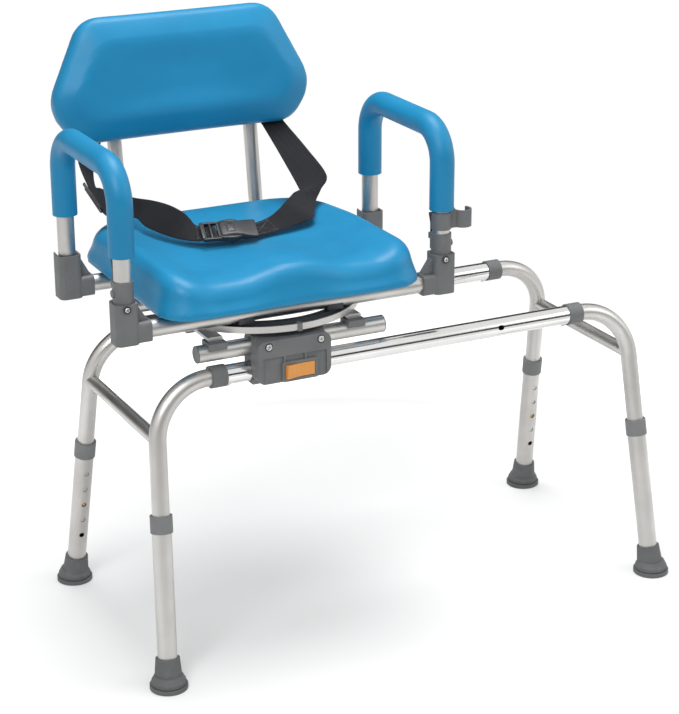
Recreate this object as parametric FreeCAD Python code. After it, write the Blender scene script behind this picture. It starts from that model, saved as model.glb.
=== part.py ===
import FreeCAD, Part
import math
import os

# Sliding shower chair: a padded seat that swivels on a carriage, which slides along two rails
# that stand on four height-adjustable legs. Millimetres, +Z up. The pieces are laid out about
# the middle of the base, with X along the rails and the front at -Y, and every finished shape
# is then moved by DEPTH_SHIFT so that the origin lies on the floor under the middle of the chair.

# Base frame
FOOT_SPREAD_X = 24.0
FOOT_SPREAD_Y = 75.0
RAIL_CORNER_REACH = 84.3
RAIL_Y = 122.2
RAIL_Z = 432.7
RAIL_RADIUS = 14.3
RAIL_WALL = 1.4
RAIL_HALF_LENGTH = 308.0
FRAME_TUBE_RADIUS = 12.7
TUBE_WALL = 1.5
TUBE_FIT = 0.2
FRAME_BEND_RADIUS = 85.0
FRAME_TUBE_INSERT = 62.0
FRAME_TUBE_END_Z = 101.0
RAIL_COLLAR_INSET = 9.7
RAIL_COLLAR_LENGTH = 24.0
COLLAR_WALL = 2.0
COLLAR_FIT = 0.1
COLLAR_LIP = 1.2
LOCK_HOLE_RADIUS = 3.8
LOCK_HOLE_SPREAD = 2.5
BRACE_DROP = 75.7
BRACE_RADIUS = 10.0
BRACE_BORE_RADIUS = 8.6

# Legs
LEG_RADIUS = 14.3
LEG_BOTTOM_Z = 9.0
LEG_COLLAR_Z = 238.2
LEG_COLLAR_LENGTH = 25.0
HOLE_PITCH_Z = 27.5
HOLE_MIDDLE_Z = 144.5
HOLE_COUNT = 5
LEG_HOLE_RADIUS = 4.0
FOOT_BASE_RADIUS = 27.7
FOOT_STEP_RADIUS = 25.0
FOOT_SHOULDER_RADIUS = 20.5
FOOT_SLEEVE_RADIUS = 17.6
FOOT_BASE_HEIGHT = 6.5
FOOT_GROOVE = 1.4
FOOT_STEP_HEIGHT = 13.0
FOOT_SHOULDER_HEIGHT = 21.0
FOOT_TOP_Z = 44.0
FOOT_BOTTOM_CHAMFER = 0.8

# Snap buttons
BUTTON_RADIUS = 3.5
BUTTON_CLEARANCE = 0.3
BUTTON_FLANGE_RADIUS = 4.6
BUTTON_FLANGE_THICKNESS = 1.0
BUTTON_SPRING_WIDTH = 7.0
BUTTON_SPRING_THICKNESS = 0.6
BUTTON_SPRING_LENGTH = 26.0
BUTTON_BORE_GAP = 0.3
LEG_BUTTON_RECESS = 0.3
RAIL_BUTTON_PROUD = 2.4
RAIL_BUTTON_INSET = 27.0
BUTTON_TRAVEL = 3.2

# Carriage
SEAT_REST_INSET = 127.0
SEAT_LOCK_INSET = 126.0
CARRIAGE_TUBE_RISE = 37.3
CARRIAGE_TUBE_OVERHANG = 14.0
END_CAP_THICKNESS = 1.6
END_CAP_PLUG = 12.0
CROSS_BAR_LEFT_REACH = 119.0
CROSS_BAR_RIGHT_REACH = 100.0
CROSS_BAR_WIDTH = 22.0
CROSS_BAR_HEIGHT = 7.0
CROSS_BAR_OVERHANG = 4.0
SADDLE_LENGTH = 28.0
SADDLE_HALF_DEPTH = 14.5
SADDLE_DROP = 6.0
SADDLE_EDGE = 2.0

# Slider blocks
BLOCK_OFFSET = -10.0
BLOCK_HALF_LENGTH = 58.0
BLOCK_FRONT_REACH = 35.8
BLOCK_FACE_DROP = 12.9
BLOCK_FACE_RISE = 15.0
BLOCK_FACE_DEPTH = 25.0
BLOCK_CORNER = 13.0
BLOCK_WALL = 4.6
BLOCK_EDGE = 3.0
BLOCK_RAIL_CLEARANCE = 0.4
BLOCK_JAW_SHORTER = 3.0
BLOCK_POCKET_DEPTH = 2.4
BLOCK_POCKET_RISE = 26.8
BLOCK_POCKET_HALF_LENGTH = 50.0
BLOCK_RIB_WIDTH = 3.0
BLOCK_RIB_SPACING = 33.0
BLOCK_RIB_DROP = 10.0
BLOCK_SCREW_SPACING = 82.0
BLOCK_SCREW_RISE = 6.5
SCREW_HEAD_RADIUS = 3.6
SCREW_SHANK_RADIUS = 2.0
SCREW_HEAD_HEIGHT = 1.4
SCREW_RECESS = 0.5
SCREW_LENGTH = 14.0
SCREW_SLOT_WIDTH = 0.9
SCREW_SLOT_DEPTH = 0.8

# Slide lock
ROCKER_OFFSET = -3.0
ROCKER_RISE = 2.8
ROCKER_HALF_LENGTH = 23.0
ROCKER_HEIGHT = 20.0
ROCKER_CLEARANCE = 0.6
ROCKER_FRAME_WALL = 4.4
ROCKER_FRAME_PROUD = 1.5
ROCKER_TURN_DEG = 12.0
ROCKER_FRONT_DEPTH = 4.0
ROCKER_BACK_DEPTH = 2.0
ROCKER_AXIS_DEPTH = 3.5
ROCKER_TRUNNION_RADIUS = 1.6
ROCKER_TRUNNION_LENGTH = 2.4
ROCKER_TRUNNION_FIT = 0.1
ROCKER_EDGE = 0.8
LOCK_PIN_OFFSET = -16.0
LOCK_PIN_RADIUS = 2.8
LOCK_PIN_FIT = 0.2
LOCK_PIN_GAP = 0.4

# Swivel ring
RING_REACH = 39.3
RING_FLANGE_WIDTH = 25.3
RING_WALL = 3.4
RING_RISE = 23.4
RING_FLOOR = 2.0
RING_HEIGHT = 9.6
RING_GAP = 0.3
TURN_RING_FIT = 0.5
TURN_RING_WIDTH = 19.9
TURN_RING_STEP = 6.0
TURN_RING_STEP_DROP = 2.4
TURN_RING_TUBE_GAP = 0.1
RING_CLIP_WIDTH = 7.0
RING_CLIP_THICKNESS = 1.4
RING_CLIP_REACH = 4.6
RING_CLIP_DROP = 1.5
RING_CLIP_COUNT = 4
RING_LUG_WIDTH = 24.0
RING_LUG_HEIGHT = 8.0

# Seat frame
SEAT_TUBE_Y = 114.0
SEAT_TUBE_RISE = 24.1
SEAT_TUBE_RADIUS = 12.7
POST_X = 250.0
SEAT_CROSS_X = 92.0
SEAT_CROSS_RADIUS = 9.5
SEAT_CROSS_WALL = 1.4
BACK_POST_X = 114.0
BACK_POST_RADIUS = 11.0
BACK_RECLINE_DEG = 8.1
BACK_POST_REFERENCE_Y = 262.0
BACK_POST_REFERENCE_RISE = 159.5
BACK_POST_TOP = 145.0
BACK_POST_BEND_RADIUS = 30.0
BACK_POST_CAP = 3.0

# Arm brackets
BRACKET_HALF = 17.3
BRACKET_CORNER = 8.5
BRACKET_FRONT_RISE = 44.5
BRACKET_BACK_RISE = 50.5
BRACKET_REACH = 35.5
BRACKET_SOCKET_HALF = 15.3
BRACKET_SOCKET_CORNER = 6.0
BRACKET_GUSSET_WIDTH = 13.0
BRACKET_GUSSET_DROP = 3.0
BRACKET_GUSSET_FOOT = 31.0
BRACKET_EDGE = 2.0
BRACKET_BACK_CAVITY = 14.6
BRACKET_BACK_CAVITY_CORNER = 6.0
BRACKET_FLOOR_RISE = 11.5
BRACKET_SLOT_DROP = 17.5
BRACKET_SCREW_X = -2.0
BRACKET_SCREW_DROP = 6.0

# Armrests
ARM_TUBE_RADIUS = 12.7
ARM_TUBE_WALL = 1.5
ARM_TOP_RISE = 229.5
ARM_BEND_RADIUS = 50.0
ARM_PIVOT_RISE = 28.5
ARM_TUBE_BELOW_PIVOT = 6.0
ARM_PIN_RADIUS = 3.0
ARM_PIN_FIT = 0.05
ARM_PIN_HALF = 16.3
GRIP_RADIUS = 18.25
GRIP_BOTTOM_RISE = 110.5
GRIP_END_ROUND = 3.0
SLEEVE_RADIUS = 15.0
SLEEVE_TOP_RISE = 75.5
SLEEVE_BOTTOM_RISE = 13.5
SLEEVE_CUP_CLEARANCE = 0.8
SLEEVE_EDGE = 1.0
RIVET_RADIUS = 5.5
RIVET_PROUD = 2.2
RIVET_RISE = 58.5

# Arm release lever
LEVER_WIDTH = 15.0
LEVER_THICKNESS = 3.0
LEVER_TOP_RISE = 102.0
LEVER_FLARE_RISE = 85.5
LEVER_FLARE = 5.0
LEVER_BOTTOM_RISE = 46.5
LEVER_GAP = 2.2
LEVER_PIVOT_RISE = 67.5
LEVER_PIN_RADIUS = 1.5
LEVER_PIN_FIT = 0.1
LEVER_EAR_THICKNESS = 2.5
LEVER_EAR_HALF_HEIGHT = 4.5
LEVER_SIDE_GAP = 0.4
LEVER_EDGE = 0.8

# Accessory clip on the right front post
CLIP_BAND_WALL = 1.8
CLIP_BAND_RISE = 81.5
CLIP_BAND_HEIGHT = 26.0
CLIP_FIT = 0.1
CLIP_LOOP_RADIUS = 14.0
CLIP_LOOP_WALL = 3.0
CLIP_LOOP_DISTANCE = 35.0
CLIP_LOOP_GAP_DEG = 100.0
CLIP_ARM_WIDTH = 12.0

# Seat cushion
CUSHION_SIDE_GAP = 27.7
CUSHION_FRONT_Y = 167.0
CUSHION_BACK_Y = 228.5
CUSHION_GAP = 0.4
CUSHION_HEIGHT = 66.4
CUSHION_BULGE = 5.0
CUSHION_GROOVE_DEPTH = 15.0
CUSHION_POMMEL_DROP = 3.0
CUSHION_BACK_DROP = 14.0
CUSHION_EDGE_LIFT = 13.0
CUSHION_FRONT_RADIUS = 66.0
CUSHION_BACK_RADIUS = 88.0

# Backrest cushion
PAD_RISE = 175.5
PAD_BOTTOM_Y = 237.0
PAD_HEIGHT = 187.0
PAD_HALF_THICKNESS = 23.0
PAD_TOP_HALF_WIDTH = 160.0
PAD_WIDE_HALF_WIDTH = 221.0
PAD_WIDE_HEIGHT = 56.0
PAD_BOTTOM_HALF_WIDTH = 176.0
PAD_TOP_CORNER = 46.0
PAD_WIDE_CORNER = 56.0
PAD_BOTTOM_CORNER = 52.0
PAD_SCREW_HEIGHTS = (45.0, 125.0)
PAD_CLEARANCE = 0.3

# Belt
BELT_THICKNESS = 2.2
BELT_LIFT = 4.0
BUCKLE_HALF_WIDTH = 21.0
BUCKLE_HALF_THICKNESS = 5.0
BUCKLE_EDGE = 2.5
ADJUSTER_HALF_LENGTH = 11.0
ADJUSTER_HALF_WIDTH = 23.0
ADJUSTER_HALF_THICKNESS = 4.0
ADJUSTER_SLOT_HALF_WIDTH = 20.5
ADJUSTER_SLOT_HALF_THICKNESS = 1.9

# Length by which a cutting tool runs past the face that it cuts
OVERRUN = 2.0

# Least difference between two lengths that counts
TOLERANCE = 0.001

# Derived places along the rails
CORNER_X = RAIL_HALF_LENGTH + RAIL_CORNER_REACH
FOOT_X = CORNER_X + FOOT_SPREAD_X
FOOT_Y = RAIL_Y + FOOT_SPREAD_Y
RAIL_COLLAR_X = RAIL_HALF_LENGTH - RAIL_COLLAR_INSET
RAIL_BUTTON_X = RAIL_HALF_LENGTH - RAIL_BUTTON_INSET
SEAT_REST_X = SEAT_REST_INSET - RAIL_HALF_LENGTH
SEAT_LOCK_X = RAIL_HALF_LENGTH - SEAT_LOCK_INSET
BLOCK_X = SEAT_REST_X + BLOCK_OFFSET
CROSS_BAR_OFFSETS = (-CROSS_BAR_LEFT_REACH, CROSS_BAR_RIGHT_REACH)
CARRIAGE_TUBE_HALF_LENGTH = CROSS_BAR_LEFT_REACH + SADDLE_LENGTH / 2 + CARRIAGE_TUBE_OVERHANG
CUSHION_HALF_WIDTH = POST_X - BRACKET_HALF - CUSHION_SIDE_GAP

# Derived heights, each from the piece below
BRACE_Z = RAIL_Z - BRACE_DROP
CARRIAGE_TUBE_Z = RAIL_Z + CARRIAGE_TUBE_RISE
BLOCK_FACE_BOTTOM_Z = RAIL_Z - BLOCK_FACE_DROP
BLOCK_FACE_TOP_Z = CARRIAGE_TUBE_Z + BLOCK_FACE_RISE
BLOCK_POCKET_TOP_Z = RAIL_Z + BLOCK_POCKET_RISE
BLOCK_SCREW_Z = CARRIAGE_TUBE_Z + BLOCK_SCREW_RISE
ROCKER_Z = RAIL_Z + ROCKER_RISE
RING_BOTTOM_Z = CARRIAGE_TUBE_Z + RING_RISE
SEAT_TUBE_Z = RING_BOTTOM_Z + SEAT_TUBE_RISE
BACK_POST_REFERENCE_Z = SEAT_TUBE_Z + BACK_POST_REFERENCE_RISE
BRACKET_BOTTOM_Z = SEAT_TUBE_Z - BRACKET_SOCKET_HALF
BRACKET_FRONT_TOP_Z = SEAT_TUBE_Z + BRACKET_FRONT_RISE
BRACKET_BACK_TOP_Z = SEAT_TUBE_Z + BRACKET_BACK_RISE
BRACKET_FLOOR_Z = SEAT_TUBE_Z + BRACKET_FLOOR_RISE
ARM_TOP_Z = SEAT_TUBE_Z + ARM_TOP_RISE
ARM_PIVOT_Z = SEAT_TUBE_Z + ARM_PIVOT_RISE
GRIP_BOTTOM_Z = SEAT_TUBE_Z + GRIP_BOTTOM_RISE
SLEEVE_TOP_Z = SEAT_TUBE_Z + SLEEVE_TOP_RISE
SLEEVE_BOTTOM_Z = SEAT_TUBE_Z + SLEEVE_BOTTOM_RISE
RIVET_Z = SEAT_TUBE_Z + RIVET_RISE
LEVER_TOP_Z = SEAT_TUBE_Z + LEVER_TOP_RISE
LEVER_FLARE_Z = SEAT_TUBE_Z + LEVER_FLARE_RISE
LEVER_BOTTOM_Z = SEAT_TUBE_Z + LEVER_BOTTOM_RISE
LEVER_PIVOT_Z = SEAT_TUBE_Z + LEVER_PIVOT_RISE
CLIP_BAND_BOTTOM_Z = SEAT_TUBE_Z + CLIP_BAND_RISE
CLIP_BAND_TOP_Z = CLIP_BAND_BOTTOM_Z + CLIP_BAND_HEIGHT
CUSHION_BOTTOM_Z = SEAT_TUBE_Z + SEAT_TUBE_RADIUS + CUSHION_GAP
CUSHION_SIDE_TOP_Z = CUSHION_BOTTOM_Z + CUSHION_HEIGHT
PAD_BOTTOM_Z = SEAT_TUBE_Z + PAD_RISE

# Derived radii and leans
RING_RADIUS = SEAT_TUBE_Y + RING_REACH
RING_BORE_RADIUS = RING_RADIUS - RING_FLANGE_WIDTH
RING_LUG_X = SEAT_CROSS_X - SEAT_CROSS_RADIUS - RING_GAP - RING_LUG_WIDTH / 2
LEAN_X = (FOOT_X - CORNER_X) / RAIL_Z
LEAN_Y = (FOOT_Y - RAIL_Y) / RAIL_Z
RECLINE = math.radians(BACK_RECLINE_DEG)
RAIL_BORE_RADIUS = RAIL_RADIUS - RAIL_WALL
FRAME_TUBE_BORE = FRAME_TUBE_RADIUS - TUBE_WALL
LEG_BORE_RADIUS = FRAME_TUBE_RADIUS + TUBE_FIT
BACK_POST_TOP_Z = PAD_BOTTOM_Z + BACK_POST_TOP * math.cos(RECLINE)
BACK_REACH = (BACK_POST_REFERENCE_Y + (BACK_POST_TOP_Z - BACK_POST_REFERENCE_Z) * math.tan(RECLINE)
              + BACK_POST_RADIUS / math.cos(RECLINE))
DEPTH_SHIFT = (FOOT_Y + FOOT_BASE_RADIUS - BACK_REACH) / 2
BLOCK_FACE_Y = -RAIL_Y - BLOCK_FRONT_REACH
ROCKER_AXIS_Y = BLOCK_FACE_Y - ROCKER_FRAME_PROUD + ROCKER_AXIS_DEPTH
LOCK_PIN_X_OFFSET = ROCKER_OFFSET + LOCK_PIN_OFFSET

X_AXIS = FreeCAD.Vector(1, 0, 0)
Y_AXIS = FreeCAD.Vector(0, 1, 0)
Z_AXIS = FreeCAD.Vector(0, 0, 1)
SIDES = (-1, 1)
CORNERS = {
    "front_left": (-1, -1),
    "front_right": (1, -1),
    "back_left": (-1, 1),
    "back_right": (1, 1),
}


def vec(x, y, z):
    return FreeCAD.Vector(x, y, z)


def unit(vector):
    length = vector.Length
    return FreeCAD.Vector(vector.x / length, vector.y / length, vector.z / length)


# Basic solids

def rod(start, end, radius):
    return Part.makeCylinder(radius, (end - start).Length, start, end - start)


def tube(start, end, radius, bore):
    return rod(start, end, radius).cut(rod(start, end, bore))


def box(x0, x1, y0, y1, z0, z1):
    return Part.makeBox(x1 - x0, y1 - y0, z1 - z0, vec(x0, y0, z0))


def ring(centre, radius, bore, height):
    return Part.makeCylinder(radius, height, centre).cut(Part.makeCylinder(bore, height, centre))


def join(shapes):
    result = shapes[0]
    if len(shapes) > 1:
        result = result.fuse(list(shapes[1:]))
    return result.removeSplitter()


def group(shapes):
    return Part.makeCompound(shapes)


def edges_along(shape, axis):
    found = []
    for edge in shape.Edges:
        if len(edge.Vertexes) == 2 and isinstance(edge.Curve, Part.Line):
            direction = edge.Curve.Direction
            if abs(abs(direction.dot(axis)) - 1) < TOLERANCE:
                found.append(edge)
    return found


def rounded_box(x0, x1, y0, y1, z0, z1, axis, radius):
    solid = box(x0, x1, y0, y1, z0, z1)
    return solid.makeFillet(radius, edges_along(solid, axis))


def oriented_box(centre, along, across, half_along, half_across, half_thick, edge):
    normal = unit(along.cross(across))
    solid = box(-half_along, half_along, -half_across, half_across, -half_thick, half_thick)
    if edge:
        solid = solid.makeFillet(edge, solid.Edges)
    square_across = normal.cross(along)
    matrix = FreeCAD.Matrix(along.x, square_across.x, normal.x, centre.x,
                            along.y, square_across.y, normal.y, centre.y,
                            along.z, square_across.z, normal.z, centre.z,
                            0, 0, 0, 1)
    solid.Placement = FreeCAD.Placement(matrix)
    return solid


# Bent tubes

def bend_points(before, corner, after, radius):
    into = unit(corner - before)
    out = unit(after - corner)
    half_turn = into.getAngle(out) / 2
    reach = radius * math.tan(half_turn)
    start = corner - into * reach
    end = corner + out * reach
    inward = unit(out - into)
    middle = corner + inward * (radius / math.cos(half_turn) - radius)
    return start, middle, end


def bent_path(points, radius):
    edges = []
    at = points[0]
    for index in range(1, len(points) - 1):
        start, middle, end = bend_points(points[index - 1], points[index], points[index + 1], radius)
        edges.append(Part.LineSegment(at, start).toShape())
        edges.append(Part.Arc(start, middle, end).toShape())
        at = end
    edges.append(Part.LineSegment(at, points[-1]).toShape())
    return Part.Wire(edges)


def bent_rod(points, bend_radius, radius):
    path = bent_path(points, bend_radius)
    circle = Part.Wire(Part.makeCircle(radius, points[0], points[1] - points[0]))
    return path.makePipeShell([circle], True, False)


def bent_tube(points, bend_radius, radius, bore):
    return bent_rod(points, bend_radius, radius).cut(bent_rod(points, bend_radius, bore))


# Base frame

def leg_point(side, depth, z):
    return vec(side * (FOOT_X - LEAN_X * z), depth * (FOOT_Y - LEAN_Y * z), z)


def leg_axis(side, depth):
    return unit(leg_point(side, depth, RAIL_Z) - leg_point(side, depth, 0))


def hole_direction(side, depth):
    axis = leg_axis(side, depth)
    inward = vec(0, -depth, 0)
    return unit(inward - axis * inward.dot(axis))


def frame_path(side, depth):
    start = vec(side * (RAIL_HALF_LENGTH - FRAME_TUBE_INSERT), depth * RAIL_Y, RAIL_Z)
    return [start, leg_point(side, depth, RAIL_Z), leg_point(side, depth, FRAME_TUBE_END_Z)]


def frame_tube(side, depth):
    solid = bent_tube(frame_path(side, depth), FRAME_BEND_RADIUS, FRAME_TUBE_RADIUS, FRAME_TUBE_BORE)
    drill = BUTTON_RADIUS + BUTTON_CLEARANCE
    leg_hole = leg_point(side, depth, HOLE_MIDDLE_Z)
    outward = hole_direction(side, depth)
    solid = solid.cut(rod(leg_hole, leg_hole + outward * (LEG_RADIUS + OVERRUN), drill))
    rail_hole = vec(side * RAIL_BUTTON_X, depth * RAIL_Y, RAIL_Z)
    return solid.cut(rod(rail_hole, rail_hole - Z_AXIS * (RAIL_RADIUS + OVERRUN), drill))


def frame_tubes(side):
    return group([frame_tube(side, depth) for depth in SIDES])


def rail(depth):
    start = vec(-RAIL_HALF_LENGTH, depth * RAIL_Y, RAIL_Z)
    end = vec(RAIL_HALF_LENGTH, depth * RAIL_Y, RAIL_Z)
    solid = tube(start, end, RAIL_RADIUS, RAIL_BORE_RADIUS)
    drill = BUTTON_RADIUS + BUTTON_CLEARANCE
    for side in SIDES:
        hole = vec(side * RAIL_BUTTON_X, depth * RAIL_Y, RAIL_Z)
        solid = solid.cut(rod(hole, hole - Z_AXIS * (RAIL_RADIUS + OVERRUN), drill))
    if depth < 0:
        for seat_x in (SEAT_REST_X, SEAT_LOCK_X):
            solid = solid.cut(lock_hole(seat_x + LOCK_PIN_X_OFFSET))
    return solid


def lock_hole(x):
    inner = vec(x, -RAIL_Y, ROCKER_Z)
    outer = vec(x, -RAIL_Y - RAIL_RADIUS - OVERRUN, ROCKER_Z)
    spread = vec(LOCK_HOLE_SPREAD / 2, 0, 0)
    round_ends = [rod(inner + spread * side, outer + spread * side, LOCK_HOLE_RADIUS) for side in SIDES]
    middle = box(x - spread.x, x + spread.x, outer.y, inner.y,
                 ROCKER_Z - LOCK_HOLE_RADIUS, ROCKER_Z + LOCK_HOLE_RADIUS)
    return join(round_ends + [middle])


def collar(start, direction, length, radius, bore, lip_bore):
    end = start + direction * length
    lip_end = end + direction * COLLAR_LIP
    body = rod(start, lip_end, radius)
    return body.cut(rod(start - direction * OVERRUN, end, bore)).cut(
        rod(end - direction * OVERRUN, lip_end + direction * OVERRUN, lip_bore))


def rail_collars():
    shapes = []
    for side, depth in CORNERS.values():
        outward = vec(side, 0, 0)
        start = vec(side * (RAIL_COLLAR_X - RAIL_COLLAR_LENGTH / 2), depth * RAIL_Y, RAIL_Z)
        length = RAIL_HALF_LENGTH - abs(start.x) + COLLAR_FIT
        shapes.append(collar(start, outward, length, RAIL_RADIUS + COLLAR_WALL,
                             RAIL_RADIUS + COLLAR_FIT, FRAME_TUBE_RADIUS + COLLAR_FIT))
    return group(shapes)


def cross_braces():
    shapes = []
    for side in SIDES:
        front = leg_point(side, -1, BRACE_Z)
        back = leg_point(side, 1, BRACE_Z)
        brace = tube(front, back, BRACE_RADIUS, BRACE_BORE_RADIUS)
        for depth in SIDES:
            brace = brace.cut(bent_rod(frame_path(side, depth), FRAME_BEND_RADIUS,
                                       FRAME_TUBE_RADIUS + COLLAR_FIT))
        shapes.append(brace)
    return group(shapes)


# Snap buttons: a domed button and the front leaf of its spring, sprung out of the tube's bore

def snap_button(seat, outward, along, tip_reach, pushed):
    flange_reach = math.sqrt((FRAME_TUBE_BORE - BUTTON_BORE_GAP) ** 2 - BUTTON_FLANGE_RADIUS ** 2)
    leaf_half = BUTTON_SPRING_THICKNESS / 2
    leaf_reach = flange_reach - BUTTON_FLANGE_THICKNESS - leaf_half - pushed
    flange_top = leaf_reach + leaf_half + BUTTON_FLANGE_THICKNESS
    dome_start = tip_reach - BUTTON_RADIUS / 2
    dome_turn = math.asin((tip_reach - dome_start) / BUTTON_RADIUS)

    def point(radius, reach):
        return seat + along * radius + outward * reach

    def dome_point(turn):
        return point(BUTTON_RADIUS * math.cos(turn), dome_start + BUTTON_RADIUS * math.sin(turn))

    outline = [
        dome_point(dome_turn),
        point(0, tip_reach),
        point(0, leaf_reach),
        point(BUTTON_FLANGE_RADIUS, leaf_reach),
        point(BUTTON_FLANGE_RADIUS, flange_top),
        point(BUTTON_RADIUS, flange_top),
        dome_point(0),
    ]
    dome = Part.Arc(dome_point(0), dome_point(dome_turn / 2), dome_point(dome_turn)).toShape()
    knob = Part.Face(Part.Wire(Part.makePolygon(outline).Edges + [dome])).revolve(seat, outward, 360)
    leaf = oriented_box(point(0, leaf_reach), along, along.cross(outward), BUTTON_SPRING_LENGTH / 2,
                        BUTTON_SPRING_WIDTH / 2, leaf_half, 0)
    return join([knob, leaf])


def spring_back(seat, outward, along):
    reach = FRAME_TUBE_BORE - BUTTON_BORE_GAP - BUTTON_SPRING_THICKNESS
    reach = math.sqrt(reach ** 2 - (BUTTON_SPRING_WIDTH / 2) ** 2)
    half = BUTTON_SPRING_THICKNESS / 2
    across = along.cross(outward)
    back = oriented_box(seat - outward * (reach - half), along, across,
                        BUTTON_SPRING_LENGTH / 2, BUTTON_SPRING_WIDTH / 2, half, 0)
    fold_end = seat + along * (BUTTON_SPRING_LENGTH / 2 + BUTTON_BORE_GAP + half)
    fold = oriented_box(fold_end, along, across, half, BUTTON_SPRING_WIDTH / 2, reach, 0)
    foot_centre = fold_end - outward * (reach - half) - along * BUTTON_SPRING_THICKNESS
    foot = oriented_box(foot_centre, along, across, BUTTON_SPRING_THICKNESS + half,
                        BUTTON_SPRING_WIDTH / 2, half, 0)
    return join([back, foot, fold])


def rail_button_seat(side, depth):
    return vec(side * RAIL_BUTTON_X, depth * RAIL_Y, RAIL_Z), -Z_AXIS, vec(-side, 0, 0)


def leg_button_seat(side, depth):
    return leg_point(side, depth, HOLE_MIDDLE_Z), hole_direction(side, depth), -leg_axis(side, depth)


def rail_button(side, depth):
    seat, outward, along = rail_button_seat(side, depth)
    return snap_button(seat, outward, along, RAIL_RADIUS + RAIL_BUTTON_PROUD, 0)


def leg_button(side, depth):
    seat, outward, along = leg_button_seat(side, depth)
    return snap_button(seat, outward, along, FRAME_TUBE_RADIUS - LEG_BUTTON_RECESS, BUTTON_TRAVEL)


def button_springs():
    shapes = []
    for side, depth in CORNERS.values():
        shapes.append(spring_back(*rail_button_seat(side, depth)))
        shapes.append(spring_back(*leg_button_seat(side, depth)))
    return group(shapes)


# Legs

def leg_extension(side, depth):
    bottom = leg_point(side, depth, LEG_BOTTOM_Z)
    reach = LEG_COLLAR_LENGTH / 2 - COLLAR_LIP - COLLAR_FIT
    top = leg_point(side, depth, LEG_COLLAR_Z) + leg_axis(side, depth) * reach
    solid = tube(bottom, top, LEG_RADIUS, LEG_BORE_RADIUS)
    outward = hole_direction(side, depth)
    for index in range(HOLE_COUNT):
        z = HOLE_MIDDLE_Z + (index - (HOLE_COUNT - 1) / 2) * HOLE_PITCH_Z
        centre = leg_point(side, depth, z)
        solid = solid.cut(rod(centre, centre + outward * (LEG_RADIUS + OVERRUN), LEG_HOLE_RADIUS))
    return solid


def leg_collar(side, depth):
    axis = leg_axis(side, depth)
    start = leg_point(side, depth, LEG_COLLAR_Z) - axis * (LEG_COLLAR_LENGTH / 2)
    length = LEG_COLLAR_LENGTH - COLLAR_LIP
    return collar(start, axis, length, LEG_RADIUS + COLLAR_WALL, LEG_RADIUS + COLLAR_FIT,
                  FRAME_TUBE_RADIUS + COLLAR_FIT)


def foot(side, depth):
    place = leg_point(side, depth, 0)
    groove_radius = FOOT_STEP_RADIUS - FOOT_GROOVE
    outline = [
        (0, 0),
        (FOOT_BASE_RADIUS - FOOT_BOTTOM_CHAMFER, 0),
        (FOOT_BASE_RADIUS, FOOT_BOTTOM_CHAMFER),
        (FOOT_BASE_RADIUS, FOOT_BASE_HEIGHT),
        (groove_radius, FOOT_BASE_HEIGHT),
        (groove_radius, FOOT_BASE_HEIGHT + FOOT_GROOVE),
        (FOOT_STEP_RADIUS, FOOT_BASE_HEIGHT + FOOT_GROOVE),
        (FOOT_STEP_RADIUS, FOOT_STEP_HEIGHT),
        (FOOT_SHOULDER_RADIUS, FOOT_SHOULDER_HEIGHT),
        (0, FOOT_SHOULDER_HEIGHT),
    ]
    points = [vec(radius, 0, z) for radius, z in outline]
    face = Part.Face(Part.makePolygon(points + [points[0]]))
    base = face.revolve(vec(0, 0, 0), Z_AXIS, 360)
    base.translate(place)
    low = leg_point(side, depth, FOOT_STEP_HEIGHT)
    high = leg_point(side, depth, FOOT_TOP_Z)
    sleeve = Part.makeCone(FOOT_SHOULDER_RADIUS, FOOT_SLEEVE_RADIUS, (high - low).Length, low, high - low)
    bore_start = leg_point(side, depth, LEG_BOTTOM_Z)
    bore_end = leg_point(side, depth, FOOT_TOP_Z + OVERRUN)
    return join([base, sleeve]).cut(rod(bore_start, bore_end, LEG_RADIUS + COLLAR_FIT))


# Carriage

def carriage_tubes():
    shapes = []
    for depth in SIDES:
        start = vec(SEAT_REST_X - CARRIAGE_TUBE_HALF_LENGTH, depth * RAIL_Y, CARRIAGE_TUBE_Z)
        end = vec(SEAT_REST_X + CARRIAGE_TUBE_HALF_LENGTH, depth * RAIL_Y, CARRIAGE_TUBE_Z)
        shapes.append(tube(start, end, FRAME_TUBE_RADIUS, FRAME_TUBE_BORE))
    return group(shapes)


def carriage_end_caps():
    shapes = []
    for side, depth in CORNERS.values():
        outward = vec(side, 0, 0)
        face = vec(SEAT_REST_X + side * CARRIAGE_TUBE_HALF_LENGTH, depth * RAIL_Y, CARRIAGE_TUBE_Z)
        disc = rod(face, face + outward * END_CAP_THICKNESS, FRAME_TUBE_RADIUS)
        rim = [edge for edge in disc.Edges if isinstance(edge.Curve, Part.Circle)
               and abs(edge.Curve.Center.x - face.x) > END_CAP_THICKNESS / 2]
        disc = disc.makeFillet(END_CAP_THICKNESS / 2, rim)
        plug = rod(face - outward * END_CAP_PLUG, face, FRAME_TUBE_BORE - COLLAR_FIT)
        shapes.append(join([disc, plug]))
    return group(shapes)


def cross_bars():
    top = RING_BOTTOM_Z
    half_depth = RAIL_Y + CROSS_BAR_OVERHANG
    shapes = []
    for offset in CROSS_BAR_OFFSETS:
        x = SEAT_REST_X + offset
        shapes.append(rounded_box(x - CROSS_BAR_WIDTH / 2, x + CROSS_BAR_WIDTH / 2, -half_depth, half_depth,
                                  top - CROSS_BAR_HEIGHT, top, Y_AXIS, SADDLE_EDGE))
    return group(shapes)


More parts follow.
